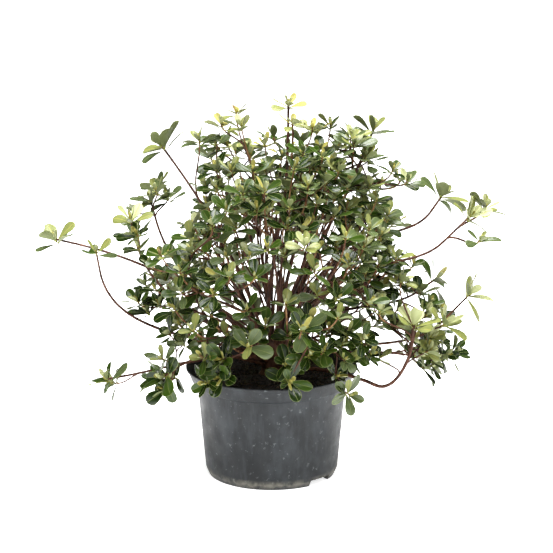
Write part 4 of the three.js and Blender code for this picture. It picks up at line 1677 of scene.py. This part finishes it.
    def twig_curve(self, joint: Joint, tip: np.ndarray, heading: np.ndarray) -> Curve:
        """Bends a twig from a joint to a tip. A joint's next twig starts a little farther back.

        Args:
            joint: The joint.
            tip: The spray's place.
            heading: The way in which it looks.

        Returns:
            The twig's curve.
        """
        start = joint.place - joint.way * self.set_back * (joint.branches + 0.5)
        way = unit(joint.way + unit(tip - start))
        return bent(start, way, tip, heading, (self.handle, self.handle))

    def join(self, tip: np.ndarray, heading: np.ndarray, joints: list[Joint], home: Limb,
             keep: np.ndarray, is_finer: bool) -> Curve | None:
        """Joins a tip to the cheapest joint with a free way, and leaves a new joint half way.

        Args:
            tip: The spray's place.
            heading: The way in which it looks.
            joints: The mass's joints.
            home: The mass's limb.
            keep: The beads to keep off.
            is_finer: Whether it may start low on the bough and pass through its neighbours.

        Returns:
            The twig's curve, or None where no way is free.
        """
        turn_cost = self.finer_turn_cost if is_finer and home.fills_crown() else home.turn_cost

        def cost(joint: Joint) -> float:
            """Far joints, and those that look away, cost most."""
            to_tip = tip - joint.place
            return float(np.linalg.norm(to_tip)) * turn_cost - float(joint.way.dot(to_tip))

        margin = self.joint_radius + self.clearance
        checked = np.linspace(self.finer_free_from if is_finer else 0, 1, self.checks)
        open_joints = sorted((j for j in joints if j.branches < j.most), key=cost)
        for joint in open_joints[: self.tries]:
            curve = self.twig_curve(joint, tip, heading)
            places = curve.at(checked)
            fits = self.clear_of_pot(places, margin)
            fits = fits and (is_finer or self.inside_space(places, home, margin))
            if fits and self.clear_of_beads(places, margin, keep):
                joint.branches += 1
                most = self.finer_most if is_finer else self.plain_most
                share = self.joint_share
                joints.append(Joint(curve.at(share)[0], curve.way(share), most))
                return curve
        return None

    def joints_along(self, curve: Curve, shares: Sequence[float]) -> list[Joint]:
        """Puts joints along a bough.

        Args:
            curve: The bough's curve.
            shares: Where, as shares of it.

        Returns:
            The joints.
        """
        return [Joint(curve.at(share)[0], curve.way(share), self.finer_most) for share in shares]

    def first_joints(self, limb: Limb, random: Seeded) -> list[Joint]:
        """Makes the joints that a mass starts with.

        Args:
            limb: The mass's limb.
            random: The mass's random numbers.

        Returns:
            A bough's arms and hub, or places along a shoot's end.
        """
        if not limb.fills_crown():
            end = limb.end()
            joints = [Joint(end + (limb.hub - end) * share, limb.heading, self.plain_most)
                      for share in self.stem_joints]
            return joints + self.joints_along(limb.stems[-1].curve, self.shoot_joints)
        joints = []
        for i in range(self.arms):
            turn = 2 * math.pi * (i + random.next() * self.arm_stray) / self.arms
            way, _ = fan_out(limb.heading, turn, math.radians(self.arm_tilt))
            place = limb.hub + way * limb.arm_length
            joints.append(Joint(place, way, self.arm_most[0], is_arm=True))
        return [*joints, Joint(limb.hub, limb.heading, self.plain_most)]

    def grow_mass(self, limb: Limb, index: int) -> None:
        """Grows a mass: its stem, its arms, its main twigs and then its finer ones.

        Args:
            limb: The mass's limb.
            index: The limb's place in the row.
        """
        random = Seeded(self.seed + self.seed_step * index)
        last, end = limb.stems[-1], limb.end()
        own = self.bead_owners == index
        near = np.linalg.norm(self.bead_places - end, axis=1) <= self.stem_room
        keep = ~(own & near)
        joints = self.first_joints(limb, random)
        handles = (self.stem_handle, self.stem_handle)
        stem = bent(end - limb.heading * self.stem_sink, limb.heading, limb.hub, limb.heading,
                    handles)
        root, tip = self.bough_stem if limb.fills_crown() else self.shoot_stem
        limb.twigs.append(Stem(stem, last.tip_radius * root,
                               max(last.tip_radius * tip, self.least_radius)))
        if limb.spray_heading is not None:
            scale = self.hub_scale * limb.leaf_scale
            limb.sprays.append(Spray(limb.hub, limb.spray_heading, scale, limb.tint))
        for number, place in enumerate(limb.tips):
            if number < limb.own_tips:
                self.branch_to(place, limb, joints, ~own, random, True, limb.leaf_scale, limb.girth)
            else:
                self.branch_to(place, limb, joints, keep, random, False)
        for joint in joints:
            if joint.is_arm:
                joint.most = self.arm_most[1]
                leave = unit(limb.heading + joint.way)
                arm = bent(limb.hub, leave, joint.place, joint.way, handles)
                limb.twigs.append(Stem(arm, *self.arm_radii))
        if limb.fills_crown():
            joints += self.joints_along(last.curve, self.bough_joints)
        for place in limb.finer:
            self.branch_to(place, limb, joints, ~own, random, True, self.finer_scale)

    def branch_to(self, tip: np.ndarray, limb: Limb, joints: list[Joint], keep: np.ndarray,
                  random: Seeded, is_finer: bool, scale: float = 1.0, girth: float = 1.0) -> None:
        """Grows one twig with its spray, if a way is free.

        Args:
            tip: The spray's place.
            limb: The mass's limb.
            joints: The mass's joints.
            keep: The beads to keep off.
            random: The mass's random numbers.
            is_finer: Whether it is one of the finer twigs.
            scale: The spray's size.
            girth: How much thicker the twig is than a plain one.
        """
        lift = self.lift
        if is_finer:
            lift = float(np.interp(tip[2], self.lift_heights, (self.lift, self.finer_lift)))
        heading = self.tip_heading(tip, random, lift)
        curve = self.join(tip, heading, joints, limb, keep, is_finer)
        if curve is None:
            return
        root = girth * (self.twig_root + curve.length() * self.twig_growth)
        limb.twigs.append(Stem(curve, root, girth * self.twig_tip))
        size = scale * random.between(*self.scale_range)
        limb.sprays.append(Spray(tip, heading, size, self.pick_tint(tip, limb, random)))

    def pick_tint(self, tip: np.ndarray, limb: Limb, random: Seeded) -> Tint:
        """Deals a tint out to a spray: deeper low down, greyer and fresher high up, partly as
        painted shade below and painted light and sheen above.

        Args:
            tip: The spray's place.
            limb: The mass's limb.
            random: The mass's random numbers.

        Returns:
            The tint.
        """
        height = (tip[2] - self.tint_foot) / self.tint_span
        odds = {tint: max(0.0, low + more * height) for tint, (low, more) in TINT_ODDS.items()}
        if limb.tint is not None and random.next() < self.own_tint_share:
            return limb.tint
        drawn = random.next() * sum(odds.values())
        for tint, chance in odds.items():
            drawn -= chance
            if drawn <= 0:
                return tint
        return Tint.DEEP


# ---------------------------------------------------------------- leaves


class Part(Enum):
    """The parts of a leaf that take a skin each."""

    BLADE = "blade"
    MARGIN = "margin"
    RIB = "rib"
    STALK = "stalk"
    UNDERSIDE = "underside"


@dataclass
class LeafShape:
    """An obovate azalea leaf: short stalk, widest past its middle, sunk rib and pale margin."""

    width_share: float = 0.5
    widest: float = 0.66
    stalk_share: float = 0.13
    stalk_end: float = 0.04
    taper: float = 1.25
    belly: float = 0.9
    roundness: float = 2.3
    late_bend: float = 1.4
    thickness: float = 0.42
    bulge: float = 0.075
    stations: tuple[float, ...] = (0.0, 0.14, 0.33, 0.53, 0.72, 0.88, 0.975)
    # The section from margin to margin over the top, then back underneath: each point's place
    # across, how much of the bulge it takes, and how many thicknesses it lies lower.
    upper: tuple[float, ...] = (-1.0, -0.92, -0.47, -0.05, 0.05, 0.47, 0.92, 1.0)
    under: tuple[float, ...] = (0.55, 0.0, -0.55)
    bulged: tuple[float, ...] = (0, 0.4, 1, 0, 0, 1, 0.4, 0, 0.8, 0, 0.8)
    dropped: tuple[float, ...] = (0, 0, 0, 0.5, 0.5, 0, 0, 0, 1, 1.5, 1)
    places: np.ndarray = field(init=False)
    bulges: np.ndarray = field(init=False)
    drops: np.ndarray = field(init=False)
    faces: list[list[int]] = field(init=False)
    parts: list[Part] = field(init=False)
    creased: np.ndarray = field(init=False)

    def __post_init__(self) -> None:
        """Lays out the section's ring and the faces, which every leaf shares."""
        self.places = np.array(self.upper + self.under)
        self.bulges, self.drops = np.array(self.bulged), np.array(self.dropped)
        ring, rows = len(self.places), len(self.stations)
        self.faces = ringed_faces(rows, ring)
        half = [Part.MARGIN, Part.BLADE, Part.BLADE]
        section = [*half, Part.RIB, *half[::-1], *[Part.UNDERSIDE] * (len(self.under) + 1)]
        self.parts = [Part.STALK] * ring + section * (rows - 2)
        for part in section:
            self.parts += [Part.STALK, part if part is Part.UNDERSIDE else Part.MARGIN]
        creased = np.zeros((rows, ring), int)
        creased[:, 0], creased[:, len(self.upper) - 1] = 1, 2
        self.creased = np.concatenate([creased.ravel(), [0, 0]])

    def half_widths(self, width: float) -> np.ndarray:
        """Lays out the leaf's outline.

        Args:
            width: The leaf's width.

        Returns:
            Half the leaf's width at each station.
        """
        t = np.array(self.stations)
        rising = np.clip((t - self.stalk_end) / (self.widest - self.stalk_end), 0, 1)
        widening = (1 - self.stalk_share) * rising**self.taper
        body = self.stalk_share + widening * (1 + self.belly - self.belly * rising)
        past = np.clip(t - self.widest, 0, 1) / (1 - self.widest)
        return width / 2 * body * np.sqrt(np.clip(1 - past**self.roundness, 0, 1))

    def points(self, root: np.ndarray, way: np.ndarray, face: np.ndarray, length: float,
               width: float, curl: float, cup: float, twist: float) -> np.ndarray:
        """The corners of one leaf.

        Args:
            root: The stalk's foot.
            way: The way in which the leaf starts.
            face: The way that its upper side looks.
            length: Its length.
            width: Its width.
            curl: How far it bends back by its tip, in radians.
            cup: How far its margins rise, as a share of half the width.
            twist: How far it turns about its own length by its tip, in radians.

        Returns:
            The corners, ring by ring, then the foot's and the tip's middles.
        """
        across = np.cross(way, face)
        t = np.array([*self.stations, 1.0])
        bend = curl * (t - 0.5 * np.diff(t, prepend=0.0)) ** self.late_bend
        steps = np.diff(t, prepend=0.0) * length
        along, back = np.cumsum(steps * np.cos(bend)), np.cumsum(steps * np.sin(bend))
        axis = root + along[:, None] * way - back[:, None] * face
        rows = []
        for i, wide in enumerate(self.half_widths(width)):
            tilt = curl * t[i] ** self.late_bend
            normal = face * math.cos(tilt) + way * math.sin(tilt)
            side = across * math.cos(twist * t[i]) + normal * math.sin(twist * t[i])
            upper = normal * math.cos(twist * t[i]) - across * math.sin(twist * t[i])
            lift = wide * (cup * self.places**2 + self.bulge * self.bulges)
            lift -= self.thickness * self.drops
            rows.append(axis[i] + np.outer(self.places * wide, side) + np.outer(lift, upper))
        return np.concatenate([*rows, axis[:1], axis[-1:]])


@dataclass
class Foliage:
    """All the leaves and buds, grown spray by spray."""

    crown: Crown
    shape: LeafShape = field(default_factory=LeafShape)
    length: float = 28.0
    outer_count: tuple[int, int] = (4, 7)
    inner_count: tuple[int, int] = (2, 4)
    # From the outermost leaf to the heart: shares of the way, and the tilt and size there.
    tilt_shares: Triple = (0.0, 0.6, 1.0)
    tilts: Triple = (77.0, 52.0, 24.0)
    tilt_stray: float = 16.0
    young_lift: float = 8.0
    size_shares: Triple = (0.0, 0.55, 1.0)
    sizes: Triple = (1.0, 0.92, 0.38)
    size_range: tuple[float, float] = (0.78, 1.1)
    width_range: tuple[float, float] = (0.84, 1.16)
    heart_start: float = 0.5
    heart_slimness: float = 0.1
    skin_stray: float = 0.99
    curl_range: tuple[float, float] = (8.0, 46.0)
    heart_curl: float = 18.0
    cup_range: tuple[float, float] = (-0.22, 0.24)
    heart_cup: float = 0.2
    twist_stray: float = 0.8
    step: float = 0.9
    root_reach: float = 0.4
    pot_margin: float = 1.0
    wood_margin: float = 0.2
    folds: tuple[float, ...] = (0.0, 26.0, 50.0)
    bud_length: float = 8.0
    bud_radius: float = 2.1
    bud_shares: tuple[float, ...] = (0.0, 0.3, 0.62, 0.88, 1.0)
    bud_girths: tuple[float, ...] = (0.7, 1.0, 0.85, 0.42, 0.1)
    bud_sides: int = 6
    seed: int = 6007
    seed_weights: Triple = (3.0, 101.0, 7.0)

    def spray(self, pile: Pile, spray: Spray, keep: np.ndarray, random: Seeded) -> int:
        """Adds one spray's leaves and bud to a pile.

        Args:
            pile: The pile.
            spray: The spray.
            keep: The beads to keep off.
            random: The random numbers.

        Returns:
            How many leaves found room.
        """
        count = random.whole(*self.outer_count) + random.whole(*self.inner_count)
        phase, grown = 360 * random.next(), 0
        skins, heart = spray.tint.value, len(spray.tint.value) - 1
        young = self.young_lift if spray.tint is Tint.LIME else 0
        for i in range(count):
            inward = i / (count - 1)
            tilt = float(np.interp(inward, self.tilt_shares, self.tilts))
            tilt += random.stray(self.tilt_stray) - young
            size = spray.scale * random.between(*self.size_range)
            length = self.length * (size * float(np.interp(inward, self.size_shares, self.sizes)))
            slimness = self.heart_slimness * max(0.0, inward - self.heart_start)
            width = self.shape.width_share * random.between(*self.width_range) - slimness
            depth = int(inward * heart + random.between(0, self.skin_stray))
            turn = math.radians(phase + i * GOLDEN_ANGLE)
            curl = math.radians(random.between(*self.curl_range)) * (1 - inward)
            curl -= math.radians(self.heart_curl) * inward
            cup = random.between(*self.cup_range) + self.heart_cup * inward
            twist = random.stray(self.twist_stray)
            for fold in self.folds:
                way, face = fan_out(spray.heading, turn, math.radians(tilt - fold))
                root = spray.tip - spray.heading * self.step * (count - 1 - i)
                points = self.shape.points(root + way * self.root_reach, way, face, length,
                                           length * width, curl, cup, twist)
                if self.fits(points, keep):
                    self.add_leaf(pile, points, skins[min(heart, depth)])
                    grown += 1
                    break
        self.bud(pile, spray)
        return grown

    def fits(self, points: np.ndarray, keep: np.ndarray) -> bool:
        """Whether a leaf keeps off the pot and the limbs.

        Args:
            points: The leaf's corners.
            keep: The beads to keep off.

        Returns:
            True if it does.
        """
        # The stalk may touch its twig. Past it, every third corner stands for the leaf.
        body = points[len(self.shape.places) * 2 :: 3]
        clear = self.crown.clear_of_pot(body, self.pot_margin)
        return clear and self.crown.clear_of_beads(body, self.wood_margin, keep)

    def add_leaf(self, pile: Pile, points: np.ndarray, skin: Skin) -> None:
        """Adds a leaf in the skins of its parts.

        Args:
            pile: The pile that it goes into.
            points: The leaf's corners.
            skin: The blade's skin.
        """
        pale = skin in (Skin.LIME, Skin.HEART, Skin.TAWNY)
        skins = {
            Part.BLADE: skin,
            Part.MARGIN: Skin.LIME if pale else Skin.MARGIN,
            Part.RIB: Skin.HEART if pale or skin is Skin.FRESH else Skin.RIB,
            Part.STALK: Skin.STALK,
            Part.UNDERSIDE: Skin.LIME if pale else Skin.UNDERSIDE,
        }
        slots = [SKIN_SLOT[skins[part]] for part in self.shape.parts]
        pile.add(points, self.shape.faces, slots, self.shape.creased)

    def bud(self, pile: Pile, spray: Spray) -> None:
        """Adds the bud at the heart of a spray.

        Args:
            pile: The pile that it goes into.
            spray: The spray.
        """
        shares = np.array(self.bud_shares)
        path = spray.tip + np.outer(shares * self.bud_length * spray.scale, spray.heading)
        radii = self.bud_radius * np.array(self.bud_girths)
        skin = Skin.TAWNY if spray.tint is Tint.GOLD else Skin.HEART
        slots = [SKIN_SLOT[skin]] * (len(shares) - 1)
        pile.add_tube(path, np.repeat(radii[:, None], self.bud_sides, axis=1), slots)

    def build(self) -> None:
        """Makes the foliage, a piece for each tier of the plant."""
        materials = [LeafSkin(skin).make() for skin in Skin]
        tiers: dict[str, list[Limb]] = {}
        for limb in self.crown.limbs:
            tier = "shoots_left" if limb.centre[0] < 0 else "shoots_right"
            if limb.fills_crown():
                tier = limb.name.split("_")[0]
            tiers.setdefault(tier, []).append(limb)
        for tier, limbs in tiers.items():
            pile, sprays, leaves = Pile(), 0, 0
            for limb in limbs:
                apart = np.linalg.norm(self.crown.bead_places - limb.end(), axis=1)
                for spray in limb.sprays:
                    random = Seeded(self.seed + int(spray.tip.dot(self.seed_weights)))
                    leaves += self.spray(pile, spray, apart > self.crown.stem_room, random)
                sprays += len(limb.sprays)
            piece = pile.build(f"leaves_{tier}", materials)
            ride(piece, [f"foliage_{limb.name}" for limb in limbs])
            LOG.info("%s: %d sprays, %d leaves", piece.name, sprays, leaves)


# ---------------------------------------------------------------- wood


@dataclass
class Wood:
    """The barked boughs with their leaf scars, and the thin twigs that carry the sprays."""

    crown: Crown
    ring_step: float = 2.6
    least_rings: int = 6
    sides: int = 9
    scar_gap: float = 13.0
    scar_rise: float = 0.2
    scar_spread: float = 1.3
    knob_mm: float = 9.0
    knob_reach: float = 0.8
    knob_share: float = 0.11
    fine_knobs: float = 3.1
    fine_share: float = 0.06
    twig_sides: int = 6
    twig_step: float = 7.0
    least_twig_rings: int = 5
    young_share: float = 0.62
    seed_step: int = 7

    def barked(self, pile: Pile, stem: Stem, slimness: float, seed: int) -> None:
        """Adds a bough with scars and uneven girth.

        Args:
            pile: The pile that it goes into.
            stem: The bough's stem.
            slimness: How much of the stem's girth it takes.
            seed: Seed of its scars and knobs.
        """
        length = stem.curve.length()
        count = max(self.least_rings, math.ceil(length / self.ring_step))
        shares = np.linspace(0, 1, count + 1)
        plain = stem.radii(shares) * slimness
        scars = np.arange(self.scar_gap * Seeded(seed).next(), length, self.scar_gap)
        turns = np.arange(len(scars)) * math.radians(GOLDEN_ANGLE)
        radii = np.empty((count + 1, self.sides))
        for j in range(self.sides):
            angle = 2 * math.pi * j / self.sides
            x, y = math.cos(angle) * self.knob_reach, math.sin(angle) * self.knob_reach
            facing = np.cos(angle - turns) * 0.5 + 0.5
            for i, share in enumerate(shares):
                at = share * length
                spot = Vector((x, y, at / self.knob_mm + seed))
                uneven = self.knob_share * noise.noise(spot)
                uneven += self.fine_share * noise.noise(spot * self.fine_knobs)
                near = np.exp(-(((at - scars) / self.scar_spread) ** 2))
                radii[i, j] = plain[i] * (1 + uneven + (self.scar_rise * facing * near).sum())
        pile.add_tube(stem.curve.at(shares), radii, [0] * count)

    def twig(self, pile: Pile, stem: Stem, is_young: bool) -> None:
        """Adds a smooth tapering twig.

        Args:
            pile: The pile that it goes into.
            stem: The twig's stem.
            is_young: Whether its end is in younger bark.
        """
        count = max(self.least_twig_rings, math.ceil(stem.curve.length() / self.twig_step))
        shares = np.linspace(0, 1, count + 1)
        slots = [int(is_young and share > self.young_share) for share in shares[:-1]]
        radii = np.repeat(stem.radii(shares)[:, None], self.twig_sides, axis=1)
        pile.add_tube(stem.curve.at(shares), radii, slots)

    def build(self) -> None:
        """Makes the trunk, the boughs and the twigs."""
        # The old bark's red-brown shades are darkened as painted shade, for the stems in the
        # crown's shaded inside.
        bark = Bark("azalea_bark", ("#27150e", "#45281b", "#6e4a38")).make()
        young = Bark("azalea_young_bark", ("#4a2a19", "#714d30", "#8e7648")).make()
        trunk, boughs, twigs = Pile(), Pile(), Pile()
        self.crown.stump.build(trunk)
        limbs = self.crown.limbs
        for index, limb in enumerate(limbs):
            for part, stem in enumerate(limb.stems):
                self.barked(boughs, stem, limb.slimness, index * self.seed_step + part + 1)
            for number, stem in enumerate(limb.twigs):
                self.twig(twigs, stem, number > 0)
        ride(trunk.build("barked_trunk", [bark]), ["trunk"])
        solids = [solid for limb in limbs for solid in limb.solids()]
        ride(boughs.build("barked_boughs", [bark]), solids)
        masses = [f"foliage_{limb.name}" for limb in limbs]
        ride(twigs.build("twigs", [bark, young]), masses)


# ---------------------------------------------------------------- stage


@dataclass(frozen=True)
class Lamp:
    """A square soft light that looks at the plant; degrees, metres and watts."""

    name: str
    azimuth: float
    elevation: float
    distance: float
    size: float
    power: float
    aim_height: float = 0.25

    def hang(self) -> None:
        """Hangs the light."""
        data = bpy.data.lights.new(self.name, "AREA")
        data.size, data.energy = self.size, self.power
        lamp = bpy.data.objects.new(self.name, data)
        way = Vector(direction(self.azimuth, self.elevation))
        lamp.location = way * self.distance + Vector((0, 0, self.aim_height))
        lamp.rotation_euler = (-way).to_track_quat("-Z", "Y").to_euler()
        bpy.context.scene.collection.objects.link(lamp)


@dataclass
class Studio:
    """A floor of backlit acrylic, soft lights and the camera."""

    aim: Triple = (6.0, 0.0, 247.0)
    distance: float = 3600.0
    elevation: float = 14.8
    lens: float = 193.0
    sensor: float = 36.0
    sight: float = 100.0
    floor_half: float = 60.0
    floor_drop: float = 0.2
    daylight: float = 0.11
    lamps: tuple[Lamp, ...] = (
        Lamp("key", -115, 60, 3.0, 1.4, 104.0),
        Lamp("fill", -35, 42, 3.2, 1.8, 42.0),
        Lamp("top", 40, 80, 2.6, 1.6, 186.0),
    )

    def camera(self) -> None:
        """Sets the camera a little above the plant, straight in front of it."""
        data = bpy.data.cameras.new("camera")
        data.lens, data.sensor_width, data.clip_end = self.lens, self.sensor, self.sight
        camera = bpy.data.objects.new("camera", data)
        back = Vector(direction(-90, self.elevation))
        camera.location = Vector(self.aim) * MM + back * self.distance * MM
        camera.rotation_euler = (-back).to_track_quat("-Z", "Y").to_euler()
        bpy.context.scene.collection.objects.link(camera)
        bpy.context.scene.camera = camera

    def floor(self) -> None:
        """Lays the floor under the pot."""
        half, low = self.floor_half / MM, -self.floor_drop
        corners = np.array([[-half, -half, low], [half, -half, low], [half, half, low],
                            [-half, half, low]])
        pile = Pile()
        pile.add(corners, [[0, 1, 2, 3]], [0])
        pile.build("paper_floor", [Acrylic().make()])

    def build(self) -> None:
        """Sets the whole stage."""
        self.camera()
        self.floor()
        world = bpy.data.worlds.new("studio")
        world.use_nodes = True
        sky = world.node_tree.nodes["Background"]
        sky.inputs["Color"].default_value = grey(1.0)
        sky.inputs["Strength"].default_value = self.daylight
        bpy.context.scene.world = world
        for lamp in self.lamps:
            lamp.hang()
        bpy.context.scene.view_settings.view_transform = "Standard"


def main() -> None:
    """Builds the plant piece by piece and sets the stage."""
    logging.basicConfig(level=logging.INFO, format="%(name)s: %(message)s")
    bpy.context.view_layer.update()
    Studio().build()
    pot = Pot()
    pot.build()
    CompostBed(pot).build()
    crown = Crown(pot, Stump())
    crown.grow()
    Wood(crown).build()
    Foliage(crown).build()
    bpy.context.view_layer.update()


if __name__ == "__main__":
    main()
